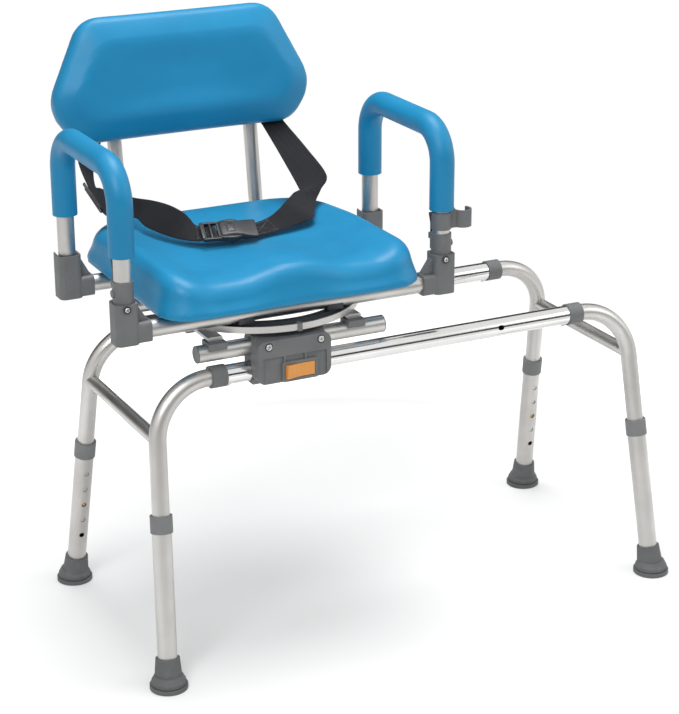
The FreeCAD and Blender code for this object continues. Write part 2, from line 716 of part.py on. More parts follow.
def saddles():
    top = RING_BOTTOM_Z - CROSS_BAR_HEIGHT
    bottom = CARRIAGE_TUBE_Z + FRAME_TUBE_RADIUS - SADDLE_DROP
    shapes = []
    for offset in CROSS_BAR_OFFSETS:
        for depth in SIDES:
            x = SEAT_REST_X + offset
            y = depth * RAIL_Y
            block = rounded_box(x - SADDLE_LENGTH / 2, x + SADDLE_LENGTH / 2, y - SADDLE_HALF_DEPTH,
                                y + SADDLE_HALF_DEPTH, bottom, top, Z_AXIS, SADDLE_EDGE)
            reach = vec(SADDLE_LENGTH, 0, 0)
            centre = vec(x, y, CARRIAGE_TUBE_Z)
            shapes.append(block.cut(rod(centre - reach, centre + reach, FRAME_TUBE_RADIUS)))
    return group(shapes)


def block_screw_places():
    return [vec(BLOCK_X + side * BLOCK_SCREW_SPACING / 2, BLOCK_FACE_Y, BLOCK_SCREW_Z) for side in SIDES]


def turned_to_back(shape):
    return shape.mirror(vec(0, 0, 0), Y_AXIS)


def slider_body():
    x0 = BLOCK_X - BLOCK_HALF_LENGTH
    x1 = BLOCK_X + BLOCK_HALF_LENGTH
    slab = rounded_box(x0, x1, BLOCK_FACE_Y, BLOCK_FACE_Y + BLOCK_FACE_DEPTH,
                       BLOCK_FACE_BOTTOM_Z, BLOCK_FACE_TOP_Z, Y_AXIS, BLOCK_CORNER)
    front_edges = [edge for edge in slab.Edges if abs(edge.BoundBox.YMax - BLOCK_FACE_Y) < TOLERANCE]
    slab = slab.makeFillet(BLOCK_EDGE, front_edges)
    jaw_radius = RAIL_RADIUS + BLOCK_RAIL_CLEARANCE + BLOCK_WALL
    top_radius = FRAME_TUBE_RADIUS + BLOCK_WALL
    jaw = rounded_box(x0 + BLOCK_JAW_SHORTER, x1 - BLOCK_JAW_SHORTER,
                      -RAIL_Y - jaw_radius, -RAIL_Y + jaw_radius,
                      RAIL_Z - jaw_radius, CARRIAGE_TUBE_Z + top_radius, X_AXIS, BLOCK_CORNER)
    body = join([slab, jaw])
    reach = vec(BLOCK_HALF_LENGTH + OVERRUN, 0, 0)
    rail_centre = vec(BLOCK_X, -RAIL_Y, RAIL_Z)
    tube_centre = vec(BLOCK_X, -RAIL_Y, CARRIAGE_TUBE_Z)
    body = body.cut(rod(rail_centre - reach, rail_centre + reach, RAIL_RADIUS + BLOCK_RAIL_CLEARANCE))
    body = body.cut(rod(tube_centre - reach, tube_centre + reach, FRAME_TUBE_RADIUS))
    for place in block_screw_places():
        body = body.cut(rod(place - Y_AXIS * OVERRUN, place + Y_AXIS * (SCREW_RECESS + SCREW_HEAD_HEIGHT),
                            SCREW_HEAD_RADIUS))
        bore_depth = SCREW_RECESS + SCREW_HEAD_HEIGHT + SCREW_LENGTH
        body = body.cut(rod(place, place + Y_AXIS * bore_depth, SCREW_SHANK_RADIUS))
    return body


def slider_block_front():
    body = slider_body()
    rocker_x = SEAT_REST_X + ROCKER_OFFSET
    half_length = ROCKER_HALF_LENGTH + ROCKER_CLEARANCE
    half_height = ROCKER_HEIGHT / 2 + ROCKER_CLEARANCE
    pocket_floor = BLOCK_FACE_Y + BLOCK_POCKET_DEPTH
    pocket = rounded_box(BLOCK_X - BLOCK_POCKET_HALF_LENGTH, BLOCK_X + BLOCK_POCKET_HALF_LENGTH,
                         BLOCK_FACE_Y - OVERRUN, pocket_floor, BLOCK_FACE_BOTTOM_Z - BLOCK_CORNER,
                         BLOCK_POCKET_TOP_Z, Y_AXIS, BLOCK_EDGE)
    body = body.cut(pocket)
    frame_half_length = half_length + ROCKER_FRAME_WALL
    frame_half_height = half_height + ROCKER_FRAME_WALL
    frame = rounded_box(rocker_x - frame_half_length, rocker_x + frame_half_length,
                        BLOCK_FACE_Y - ROCKER_FRAME_PROUD, pocket_floor + OVERRUN,
                        ROCKER_Z - frame_half_height, ROCKER_Z + frame_half_height, Y_AXIS, BLOCK_EDGE)
    ribs = []
    for side in SIDES:
        x = BLOCK_X + side * BLOCK_RIB_SPACING / 2
        ribs.append(box(x - BLOCK_RIB_WIDTH / 2, x + BLOCK_RIB_WIDTH / 2,
                        BLOCK_FACE_Y, pocket_floor + OVERRUN,
                        BLOCK_POCKET_TOP_Z - BLOCK_RIB_DROP, BLOCK_POCKET_TOP_Z + BLOCK_EDGE))
    body = join([body, frame] + ribs)
    swing = ROCKER_HALF_LENGTH * math.sin(math.radians(ROCKER_TURN_DEG))
    well_depth = ROCKER_AXIS_Y + ROCKER_BACK_DEPTH + swing / 2 + ROCKER_CLEARANCE
    well = box(rocker_x - half_length, rocker_x + half_length, BLOCK_FACE_Y - ROCKER_FRAME_PROUD - OVERRUN,
               well_depth, ROCKER_Z - half_height, ROCKER_Z + half_height)
    trunnion_half = ROCKER_HEIGHT / 2 + ROCKER_TRUNNION_LENGTH + ROCKER_CLEARANCE
    trunnion = rod(vec(rocker_x, ROCKER_AXIS_Y, ROCKER_Z - trunnion_half),
                   vec(rocker_x, ROCKER_AXIS_Y, ROCKER_Z + trunnion_half),
                   ROCKER_TRUNNION_RADIUS + ROCKER_TRUNNION_FIT)
    pin_x = SEAT_REST_X + LOCK_PIN_X_OFFSET
    pin_bore = rod(vec(pin_x, well_depth - OVERRUN, ROCKER_Z), vec(pin_x, -RAIL_Y, ROCKER_Z),
                   LOCK_PIN_RADIUS + LOCK_PIN_FIT)
    return body.cut(well).cut(trunnion).cut(pin_bore)


def slider_block_back():
    return turned_to_back(slider_body())


def screw(head, inward):
    rim = head + inward * SCREW_RECESS
    head_end = rim + inward * SCREW_HEAD_HEIGHT
    solid = join([rod(rim, head_end, SCREW_HEAD_RADIUS - BUTTON_CLEARANCE),
                  rod(rim + inward * (SCREW_HEAD_HEIGHT / 2), head_end + inward * SCREW_LENGTH,
                      SCREW_SHANK_RADIUS - TUBE_FIT)])
    across = unit(inward.cross(vec(1, 1, 1)))
    for slot_along in (across, inward.cross(across)):
        slot = oriented_box(rim, inward, slot_along, SCREW_SLOT_DEPTH, SCREW_HEAD_RADIUS / 2,
                            SCREW_SLOT_WIDTH / 2, 0)
        solid = solid.cut(slot)
    return solid


def block_screws():
    shapes = [screw(place, Y_AXIS) for place in block_screw_places()]
    return group(shapes + [turned_to_back(shape) for shape in shapes])


def slide_lock_rocker():
    rocker_x = SEAT_REST_X + ROCKER_OFFSET
    half_turn = math.radians(ROCKER_TURN_DEG / 2)
    reach = ROCKER_HALF_LENGTH * 2
    rise = reach * math.tan(half_turn)
    outline = [
        (0, -ROCKER_FRONT_DEPTH),
        (reach, -ROCKER_FRONT_DEPTH - rise),
        (reach, ROCKER_BACK_DEPTH),
        (-reach, ROCKER_BACK_DEPTH),
        (-reach, -ROCKER_FRONT_DEPTH - rise),
    ]
    bottom = -ROCKER_HEIGHT / 2
    points = [vec(x, y, bottom) for x, y in outline]
    paddle = Part.Face(Part.makePolygon(points + [points[0]])).extrude(vec(0, 0, ROCKER_HEIGHT))
    paddle = paddle.common(Part.makeCylinder(ROCKER_HALF_LENGTH, ROCKER_HEIGHT, vec(0, 0, bottom)))
    front_edges = [edge for edge in paddle.Edges
                   if edge.BoundBox.YMax < -ROCKER_FRONT_DEPTH + TOLERANCE
                   and edge.BoundBox.XLength > ROCKER_EDGE]
    paddle = paddle.makeFillet(ROCKER_EDGE, front_edges)
    trunnion_half = ROCKER_HEIGHT / 2 + ROCKER_TRUNNION_LENGTH
    trunnion = rod(vec(0, 0, -trunnion_half), vec(0, 0, trunnion_half), ROCKER_TRUNNION_RADIUS)
    solid = join([paddle, trunnion])
    solid.rotate(vec(0, 0, 0), Z_AXIS, ROCKER_TURN_DEG / 2)
    solid.translate(vec(rocker_x, ROCKER_AXIS_Y, ROCKER_Z))
    return solid


def slide_lock_pin():
    x = SEAT_REST_X + LOCK_PIN_X_OFFSET
    half_turn = math.radians(ROCKER_TURN_DEG / 2)
    rocker_back = (ROCKER_AXIS_Y + (ROCKER_BACK_DEPTH - abs(LOCK_PIN_OFFSET) * math.sin(half_turn))
                   / math.cos(half_turn))
    head = vec(x, rocker_back + LOCK_PIN_GAP + LOCK_PIN_RADIUS * math.tan(half_turn), ROCKER_Z)
    surface = math.sqrt((RAIL_RADIUS + BLOCK_RAIL_CLEARANCE) ** 2 - (RAIL_Z - ROCKER_Z) ** 2)
    tip = vec(x, -RAIL_Y - surface - LOCK_PIN_GAP, ROCKER_Z)
    return rod(head, tip, LOCK_PIN_RADIUS)


# Swivel

def swivel_base_ring():
    centre = vec(SEAT_REST_X, 0, RING_BOTTOM_Z)
    wall = ring(centre, RING_RADIUS, RING_RADIUS - RING_WALL, RING_HEIGHT)
    floor = ring(centre, RING_RADIUS - RING_WALL / 2, RING_BORE_RADIUS, RING_FLOOR)
    return join([wall, floor])


def turn_ring_radii():
    outer = RING_RADIUS - RING_WALL - TURN_RING_FIT
    return outer, outer - TURN_RING_STEP, outer - TURN_RING_WIDTH


def turn_ring_heights():
    bottom = RING_BOTTOM_Z + RING_FLOOR + RING_GAP
    top = SEAT_TUBE_Z - SEAT_TUBE_RADIUS - TURN_RING_TUBE_GAP
    return bottom, top - TURN_RING_STEP_DROP, top


def swivel_turn_ring():
    outer, step, inner = turn_ring_radii()
    bottom, shoulder, top = turn_ring_heights()
    lower = ring(vec(SEAT_REST_X, 0, bottom), outer, inner, shoulder - bottom)
    upper = ring(vec(SEAT_REST_X, 0, bottom), step, inner, top - bottom)
    lugs = []
    for side, depth in CORNERS.values():
        x = SEAT_REST_X + side * RING_LUG_X
        y = depth * SEAT_TUBE_Y
        lugs.append(box(x - RING_LUG_WIDTH / 2, x + RING_LUG_WIDTH / 2, y - SEAT_TUBE_RADIUS,
                        y + SEAT_TUBE_RADIUS, top - TURN_RING_TUBE_GAP, top + RING_LUG_HEIGHT))
    solid = join([lower, upper] + lugs)
    for depth in SIDES:
        reach = vec(POST_X, 0, 0)
        centre = vec(SEAT_REST_X, depth * SEAT_TUBE_Y, SEAT_TUBE_Z)
        solid = solid.cut(rod(centre - reach, centre + reach, SEAT_TUBE_RADIUS))
    return solid


def ring_clips():
    shapes = []
    outer, step, inner = turn_ring_radii()
    bottom, shoulder, top = turn_ring_heights()
    cap_bottom = shoulder + RING_GAP
    cap_top = cap_bottom + RING_CLIP_THICKNESS
    for index in range(RING_CLIP_COUNT):
        tongue = box(RING_RADIUS - RING_WALL - RING_CLIP_REACH, RING_RADIUS + RING_CLIP_THICKNESS,
                     -RING_CLIP_WIDTH / 2, RING_CLIP_WIDTH / 2, cap_bottom, cap_top)
        leg = box(RING_RADIUS, RING_RADIUS + RING_CLIP_THICKNESS, -RING_CLIP_WIDTH / 2, RING_CLIP_WIDTH / 2,
                  RING_BOTTOM_Z - RING_CLIP_DROP, cap_top)
        wall = Part.makeCylinder(RING_RADIUS, RING_HEIGHT, vec(0, 0, RING_BOTTOM_Z))
        clip = join([tongue.cut(wall), leg.cut(wall)])
        clip.rotate(vec(0, 0, 0), Z_AXIS, index * 360 / RING_CLIP_COUNT)
        clip.translate(vec(SEAT_REST_X, 0, 0))
        shapes.append(clip)
    return group(shapes)


# Seat frame

def back_post_point(side, z):
    y = BACK_POST_REFERENCE_Y + (z - BACK_POST_REFERENCE_Z) * math.tan(RECLINE)
    return vec(SEAT_REST_X + side * BACK_POST_X, y, z)


def seat_tubes():
    shapes = []
    for depth in SIDES:
        start = vec(SEAT_REST_X - POST_X + BRACKET_HALF, depth * SEAT_TUBE_Y, SEAT_TUBE_Z)
        end = vec(SEAT_REST_X + POST_X - BRACKET_HALF, depth * SEAT_TUBE_Y, SEAT_TUBE_Z)
        shapes.append(tube(start, end, SEAT_TUBE_RADIUS, SEAT_TUBE_RADIUS - TUBE_WALL))
    return group(shapes)


def seat_cross_tubes():
    shapes = []
    for side in SIDES:
        x = SEAT_REST_X + side * SEAT_CROSS_X
        front = vec(x, -SEAT_TUBE_Y, SEAT_TUBE_Z)
        back = vec(x, SEAT_TUBE_Y, SEAT_TUBE_Z)
        solid = tube(front, back, SEAT_CROSS_RADIUS, SEAT_CROSS_RADIUS - SEAT_CROSS_WALL)
        for depth in SIDES:
            reach = vec(POST_X, 0, 0)
            centre = vec(SEAT_REST_X, depth * SEAT_TUBE_Y, SEAT_TUBE_Z)
            solid = solid.cut(rod(centre - reach, centre + reach, SEAT_TUBE_RADIUS))
        shapes.append(solid)
    return group(shapes)


def back_posts():
    shapes = []
    for side in SIDES:
        x = SEAT_REST_X + side * BACK_POST_X
        start = vec(x, SEAT_TUBE_Y, SEAT_TUBE_Z)
        corner = back_post_point(side, SEAT_TUBE_Z)
        end = back_post_point(side, BACK_POST_TOP_Z)
        bore = BACK_POST_RADIUS - TUBE_WALL
        post = bent_tube([start, corner, end], BACK_POST_BEND_RADIUS, BACK_POST_RADIUS, bore)
        reach = vec(POST_X, 0, 0)
        centre = vec(x, SEAT_TUBE_Y, SEAT_TUBE_Z)
        post = post.cut(rod(centre - reach, centre + reach, SEAT_TUBE_RADIUS))
        for place in pad_screw_places(side):
            inward = pad_direction()
            back = place - inward * (BACK_POST_RADIUS + OVERRUN)
            post = post.cut(rod(back, place + inward * (BACK_POST_RADIUS + OVERRUN), SCREW_SHANK_RADIUS))
            post = post.cut(rod(back, place - inward * (BACK_POST_RADIUS - SCREW_RECESS), SCREW_HEAD_RADIUS))
        shapes.append(post)
    return group(shapes)


# Arm brackets

def bracket_shell(side, depth, top_z):
    x = side * POST_X
    y = depth * SEAT_TUBE_Y
    inner = x - side * BRACKET_REACH
    column = rounded_box(x - BRACKET_HALF, x + BRACKET_HALF, y - BRACKET_HALF, y + BRACKET_HALF,
                         BRACKET_BOTTOM_Z, top_z, Z_AXIS, BRACKET_CORNER)
    socket = rounded_box(min(inner, x), max(inner, x), y - BRACKET_SOCKET_HALF, y + BRACKET_SOCKET_HALF,
                         BRACKET_BOTTOM_Z, BRACKET_BOTTOM_Z + 2 * BRACKET_SOCKET_HALF, X_AXIS,
                         BRACKET_SOCKET_CORNER)
    socket_top = BRACKET_BOTTOM_Z + 2 * BRACKET_SOCKET_HALF
    half_width = BRACKET_GUSSET_WIDTH / 2
    wall = x - side * (BRACKET_HALF - BRACKET_EDGE)
    profile = [
        vec(wall, y - half_width, top_z - BRACKET_GUSSET_DROP),
        vec(wall, y - half_width, socket_top - BRACKET_EDGE),
        vec(x - side * (BRACKET_GUSSET_FOOT + BRACKET_EDGE), y - half_width, socket_top - BRACKET_EDGE),
        vec(x - side * (BRACKET_GUSSET_FOOT + BRACKET_EDGE), y - half_width, socket_top),
    ]
    gusset = Part.Face(Part.makePolygon(profile + [profile[0]])).extrude(vec(0, BRACKET_GUSSET_WIDTH, 0))
    solid = join([column, socket, gusset])
    tube_start = vec(x - side * BRACKET_HALF, y, SEAT_TUBE_Z)
    tube_end = vec(inner - side * OVERRUN, y, SEAT_TUBE_Z)
    return solid.cut(rod(tube_start, tube_end, SEAT_TUBE_RADIUS))


def arm_bracket_front(side):
    solid = bracket_shell(side, -1, BRACKET_FRONT_TOP_Z)
    cup = rod(vec(side * POST_X, -SEAT_TUBE_Y, SLEEVE_BOTTOM_Z - SLEEVE_CUP_CLEARANCE),
              vec(side * POST_X, -SEAT_TUBE_Y, BRACKET_FRONT_TOP_Z + OVERRUN),
              SLEEVE_RADIUS + SLEEVE_CUP_CLEARANCE)
    return solid.cut(cup)


def arm_bracket_back(side):
    x = side * POST_X
    solid = bracket_shell(side, 1, BRACKET_BACK_TOP_Z)
    cavity = rounded_box(x - BRACKET_BACK_CAVITY, x + BRACKET_BACK_CAVITY,
                         SEAT_TUBE_Y - BRACKET_BACK_CAVITY, SEAT_TUBE_Y + BRACKET_BACK_CAVITY,
                         BRACKET_FLOOR_Z, BRACKET_BACK_TOP_Z + OVERRUN, Z_AXIS, BRACKET_BACK_CAVITY_CORNER)
    slot_half = ARM_TUBE_RADIUS + SLEEVE_CUP_CLEARANCE
    slot = box(x - slot_half, x + slot_half, SEAT_TUBE_Y, SEAT_TUBE_Y + BRACKET_HALF + OVERRUN,
               ARM_PIVOT_Z - BRACKET_SLOT_DROP, BRACKET_BACK_TOP_Z + OVERRUN)
    pin = rod(vec(x - ARM_PIN_HALF, SEAT_TUBE_Y, ARM_PIVOT_Z),
              vec(x + ARM_PIN_HALF, SEAT_TUBE_Y, ARM_PIVOT_Z), ARM_PIN_RADIUS)
    return solid.cut(cavity).cut(slot).cut(pin)


def on_seat(shapes):
    moved = group(shapes)
    moved.translate(vec(SEAT_REST_X, 0, 0))
    return moved


def arm_pins():
    shapes = []
    for side in SIDES:
        x = side * POST_X
        shapes.append(rod(vec(x - ARM_PIN_HALF, SEAT_TUBE_Y, ARM_PIVOT_Z),
                          vec(x + ARM_PIN_HALF, SEAT_TUBE_Y, ARM_PIVOT_Z), ARM_PIN_RADIUS - ARM_PIN_FIT))
    return shapes


# Armrests

def arm_path(side, front_z, back_z):
    x = side * POST_X
    return [vec(x, -SEAT_TUBE_Y, front_z), vec(x, -SEAT_TUBE_Y, ARM_TOP_Z),
            vec(x, SEAT_TUBE_Y, ARM_TOP_Z), vec(x, SEAT_TUBE_Y, back_z)]


def armrest_tube(side):
    path = arm_path(side, SLEEVE_BOTTOM_Z + SLEEVE_EDGE, ARM_PIVOT_Z - ARM_TUBE_BELOW_PIVOT)
    solid = bent_tube(path, ARM_BEND_RADIUS, ARM_TUBE_RADIUS, ARM_TUBE_RADIUS - ARM_TUBE_WALL)
    x = side * POST_X
    reach = ARM_TUBE_RADIUS + OVERRUN
    pin = rod(vec(x - reach, SEAT_TUBE_Y, ARM_PIVOT_Z), vec(x + reach, SEAT_TUBE_Y, ARM_PIVOT_Z),
              ARM_PIN_RADIUS)
    return on_seat([solid.cut(pin)])


def armrest_grip(side):
    path = arm_path(side, GRIP_BOTTOM_Z, GRIP_BOTTOM_Z)
    solid = bent_rod(path, ARM_BEND_RADIUS, GRIP_RADIUS)
    rims = [edge for edge in solid.Edges if isinstance(edge.Curve, Part.Circle)
            and abs(edge.BoundBox.ZMax - GRIP_BOTTOM_Z) < TOLERANCE and edge.BoundBox.ZLength < TOLERANCE]
    solid = solid.makeFillet(GRIP_END_ROUND, rims)
    return on_seat([solid.cut(bent_rod(path, ARM_BEND_RADIUS, ARM_TUBE_RADIUS))])


def armrest_sleeve(side):
    x = side * POST_X
    y = -SEAT_TUBE_Y
    bottom = vec(x, y, SLEEVE_BOTTOM_Z)
    top = vec(x, y, SLEEVE_TOP_Z)
    body = rod(bottom, top, SLEEVE_RADIUS)
    body = body.makeFillet(SLEEVE_EDGE, [edge for edge in body.Edges if isinstance(edge.Curve, Part.Circle)])
    rivet_start = vec(x + side * ARM_TUBE_RADIUS, y, RIVET_Z)
    rivet = rod(rivet_start, rivet_start + vec(side * (SLEEVE_RADIUS - ARM_TUBE_RADIUS + RIVET_PROUD), 0, 0),
                RIVET_RADIUS)
    rim = [edge for edge in rivet.Edges if isinstance(edge.Curve, Part.Circle)
           and abs(edge.Curve.Center.x - rivet_start.x) > RIVET_PROUD]
    rivet = rivet.makeFillet(RIVET_PROUD / 2, rim)
    ears = []
    ear_start = LEVER_WIDTH / 2 + LEVER_SIDE_GAP
    back = SLEEVE_RADIUS + LEVER_GAP + LEVER_THICKNESS
    for ear_side in SIDES:
        near = x + ear_side * ear_start
        far = near + ear_side * LEVER_EAR_THICKNESS
        ears.append(box(min(near, far), max(near, far), y, y + back, LEVER_PIVOT_Z - LEVER_EAR_HALF_HEIGHT,
                        LEVER_PIVOT_Z + LEVER_EAR_HALF_HEIGHT))
    body = join([body, rivet] + ears)
    lever_y = y + SLEEVE_RADIUS + LEVER_GAP + LEVER_THICKNESS / 2
    pin_reach = ear_start + LEVER_EAR_THICKNESS + OVERRUN
    pin = rod(vec(x - pin_reach, lever_y, LEVER_PIVOT_Z), vec(x + pin_reach, lever_y, LEVER_PIVOT_Z),
              LEVER_PIN_RADIUS + LEVER_PIN_FIT)
    bore = rod(bottom - Z_AXIS * OVERRUN, top + Z_AXIS * OVERRUN, ARM_TUBE_RADIUS)
    return on_seat([body.cut(bore).cut(pin)])


def arm_lever(side):
    x = side * POST_X
    inner = -SEAT_TUBE_Y + SLEEVE_RADIUS + LEVER_GAP
    outer = inner + LEVER_THICKNESS
    outline = [
        (inner, LEVER_BOTTOM_Z),
        (outer, LEVER_BOTTOM_Z),
        (outer, LEVER_FLARE_Z),
        (outer + LEVER_FLARE, LEVER_TOP_Z - LEVER_THICKNESS),
        (outer + LEVER_FLARE - LEVER_THICKNESS / 2, LEVER_TOP_Z),
        (inner, LEVER_FLARE_Z + LEVER_THICKNESS),
    ]
    start_x = x - LEVER_WIDTH / 2
    points = [vec(start_x, y, z) for y, z in outline]
    plate = Part.Face(Part.makePolygon(points + [points[0]])).extrude(vec(LEVER_WIDTH, 0, 0))
    plate = plate.makeFillet(LEVER_EDGE, edges_along(plate, X_AXIS))
    lever_y = inner + LEVER_THICKNESS / 2
    pin_reach = LEVER_WIDTH / 2 + LEVER_SIDE_GAP + LEVER_EAR_THICKNESS
    pin = rod(vec(x - pin_reach, lever_y, LEVER_PIVOT_Z), vec(x + pin_reach, lever_y, LEVER_PIVOT_Z),
              LEVER_PIN_RADIUS)
    return on_seat([join([plate, pin])])


def accessory_clip():
    x = POST_X
    y = -SEAT_TUBE_Y
    height = CLIP_BAND_TOP_Z - CLIP_BAND_BOTTOM_Z
    centre = vec(x, y, CLIP_BAND_BOTTOM_Z)
    band_radius = ARM_TUBE_RADIUS + CLIP_FIT + CLIP_BAND_WALL
    band = Part.makeCylinder(band_radius, height, centre)
    loop_centre = vec(x + CLIP_LOOP_DISTANCE, y, CLIP_BAND_BOTTOM_Z)
    loop = Part.makeCylinder(CLIP_LOOP_RADIUS, height, loop_centre)
    arm = box(x, loop_centre.x - CLIP_LOOP_RADIUS + CLIP_LOOP_WALL,
              y - CLIP_ARM_WIDTH / 2, y + CLIP_ARM_WIDTH / 2, CLIP_BAND_BOTTOM_Z, CLIP_BAND_TOP_Z)
    solid = join([band, arm, loop])
    over = vec(0, 0, OVERRUN)
    solid = solid.cut(Part.makeCylinder(ARM_TUBE_RADIUS + CLIP_FIT, height + 2 * OVERRUN, centre - over))
    solid = solid.cut(Part.makeCylinder(CLIP_LOOP_RADIUS - CLIP_LOOP_WALL, height + 2 * OVERRUN,
                                        loop_centre - over))
    half_gap = math.radians(CLIP_LOOP_GAP_DEG / 2)
    reach = CLIP_LOOP_RADIUS * 2
    wedge_points = [
        loop_centre - over,
        loop_centre - over + vec(-reach * math.sin(half_gap), reach * math.cos(half_gap), 0),
        loop_centre - over + vec(reach * math.sin(half_gap), reach * math.cos(half_gap), 0),
    ]
    wedge_face = Part.Face(Part.makePolygon(wedge_points + [wedge_points[0]]))
    wedge = wedge_face.extrude(vec(0, 0, height + 2 * OVERRUN))
    return on_seat([solid.cut(wedge)])


# Seat cushion: sections across the seat, lofted from the front edge to the back edge

# Each row: place along the depth, corner narrowing, height, groove depth, pommel height, lift of the
# underside
CUSHION_SECTION_SHARES = (
    (0.000, 0.93, 0.62, 0.10, 0.20, 1.00),
    (0.022, 0.60, 0.83, 0.55, 0.60, 0.40),
    (0.070, 0.22, 0.95, 0.95, 0.95, 0.08),
    (0.170, 0.00, 1.00, 1.00, 1.00, 0.00),
    (0.330, 0.00, 1.00, 0.90, 0.70, 0.00),
    (0.520, 0.00, 1.00, 0.75, 0.30, 0.00),
    (0.750, 0.00, 1.00, 0.70, 0.10, 0.00),
    (0.880, 0.16, 0.97, 0.60, 0.08, 0.04),
    (0.965, 0.55, 0.86, 0.30, 0.06, 0.40),
    (1.000, 0.93, 0.62, 0.10, 0.05, 1.00),
)
CREST_SHARE = 0.88
DIP_PLACE_SHARE = 0.635
DIP_DEPTH_SHARE = 0.72
POMMEL_FOOT_SHARE = 0.31
WIDEST_HEIGHT_SHARE = 0.16
REAR_START_SHARE = 0.42
BULGE_SHARE = 0.25
SHOULDER_WIDTH_SHARE = 0.52
SHOULDER_HEIGHT_SHARE = 0.75


def mirrored(points):
    return [vec(2 * SEAT_REST_X - point.x, point.y, point.z) for point in reversed(points)]


def cushion_section(y, half_width, bottom, top, groove, pommel):
    widest = bottom + (top - bottom) * WIDEST_HEIGHT_SHARE
    foot = half_width - 2 * CUSHION_BULGE
    crest = half_width * CREST_SHARE
    shoulder = crest + (half_width - crest) * SHOULDER_WIDTH_SHARE
    pommel_foot = half_width * POMMEL_FOOT_SHARE

    def point(x, z):
        return vec(SEAT_REST_X + x, y, z)

    side = [point(foot, bottom), point(half_width - CUSHION_BULGE * BULGE_SHARE, (bottom + widest) / 2),
            point(half_width, widest)]
    roll = [point(half_width, widest), point(shoulder, widest + (top - widest) * SHOULDER_HEIGHT_SHARE),
            point(crest, top)]
    dip = [point(crest, top), point(half_width * DIP_PLACE_SHARE, top - groove * DIP_DEPTH_SHARE),
           point(pommel_foot, top - groove)]
    over = [point(pommel_foot, top - groove), point(0, top - groove + pommel),
            point(-pommel_foot, top - groove)]
    edges = [Part.LineSegment(point(-foot, bottom), point(foot, bottom)).toShape()]
    for arc in (side, roll, dip, over, mirrored(dip), mirrored(roll), mirrored(side)):
        edges.append(Part.Arc(*arc).toShape())
    return Part.Wire(edges)


def seat_cushion():
    depth = CUSHION_FRONT_Y + CUSHION_BACK_Y
    sections = []
    for place, corner, height, groove, pommel, lift in CUSHION_SECTION_SHARES:
        radius = CUSHION_FRONT_RADIUS if place < REAR_START_SHARE else CUSHION_BACK_RADIUS
        back_drop = CUSHION_BACK_DROP * max(place - REAR_START_SHARE, 0)
        top = CUSHION_BOTTOM_Z + (CUSHION_SIDE_TOP_Z - back_drop - CUSHION_BOTTOM_Z) * height
        sections.append(cushion_section(-CUSHION_FRONT_Y + place * depth,
                                        CUSHION_HALF_WIDTH - radius * corner,
                                        CUSHION_BOTTOM_Z + lift * CUSHION_EDGE_LIFT, top,
                                        groove * CUSHION_GROOVE_DEPTH,
                                        pommel * (CUSHION_GROOVE_DEPTH - CUSHION_POMMEL_DROP)))
    return Part.makeLoft(sections, True, False)


# Backrest cushion, lofted from its drawn-in back to its crowned front

def pad_direction():
    return vec(0, -math.cos(RECLINE), math.sin(RECLINE))


def pad_place(across, height, forward):
    up = vec(0, math.sin(RECLINE), math.cos(RECLINE))
    return (vec(SEAT_REST_X + across, PAD_BOTTOM_Y, PAD_BOTTOM_Z) + up * height
            + pad_direction() * forward)


def rounded_outline(corners, radii, place):
    edges = []
    ends = []
    count = len(corners)
    for index in range(count):
        points = [vec(*corners[(index + step) % count], 0) for step in (-1, 0, 1)]
        ends.append(bend_points(points[0], points[1], points[2], radii[index]))
    for index in range(count):
        start, middle, end = [place(point.x, point.y) for point in ends[index]]
        following = ends[(index + 1) % count][0]
        edges.append(Part.Arc(start, middle, end).toShape())
        edges.append(Part.LineSegment(end, place(following.x, following.y)).toShape())
    return Part.Wire(edges)


# How far each corner of the outline moves inward, and each corner radius shrinks, for an inset of 1
TOP_INSET_SHARE = 0.72
WIDE_INSET_SHARE = 1.06
BOTTOM_INSET_SHARE = 0.62
RADIUS_INSET_SHARE = 0.8


def pad_outline(inset, forward):
    top = PAD_HEIGHT - inset
    top_half = PAD_TOP_HALF_WIDTH - inset * TOP_INSET_SHARE
    wide_half = PAD_WIDE_HALF_WIDTH - inset * WIDE_INSET_SHARE
    bottom_half = PAD_BOTTOM_HALF_WIDTH - inset * BOTTOM_INSET_SHARE
    corners = [
        (-top_half, top),
        (-wide_half, PAD_WIDE_HEIGHT),
        (-bottom_half, inset),
        (bottom_half, inset),
        (wide_half, PAD_WIDE_HEIGHT),
        (top_half, top),
    ]
    sizes = (PAD_TOP_CORNER, PAD_WIDE_CORNER, PAD_BOTTOM_CORNER)
    radii = [size - inset * RADIUS_INSET_SHARE for size in sizes + sizes[::-1]]
    return rounded_outline(corners, radii, lambda across, height: pad_place(across, height, forward))


# Each row: place through the thickness from the back (-1) to the front (1), and inset in shares of
# the half thickness
PAD_SECTION_SHARES = (
    (-1.00, 0.52),
    (-0.88, 0.24),
    (-0.52, 0.02),
    (0.00, 0.00),
    (0.38, 0.12),
    (0.72, 0.55),
    (0.92, 1.05),
    (1.00, 1.60),
)


def backrest_cushion():
    sections = [pad_outline(inset * PAD_HALF_THICKNESS, forward * PAD_HALF_THICKNESS)
                for forward, inset in PAD_SECTION_SHARES]
    solid = Part.makeLoft(sections, True, False)
    for side in SIDES:
        start = back_post_point(side, PAD_BOTTOM_Z - PAD_HALF_THICKNESS)
        end = back_post_point(side, BACK_POST_TOP_Z)
        up = unit(end - start)
        solid = solid.cut(rod(start, end + up * (BACK_POST_CAP + PAD_CLEARANCE),
                              BACK_POST_RADIUS + PAD_CLEARANCE))
        for place in pad_screw_places(side):
            solid = solid.cut(rod(place, place + pad_direction() * (SCREW_LENGTH + BACK_POST_RADIUS),
                                  SCREW_SHANK_RADIUS))
    return solid


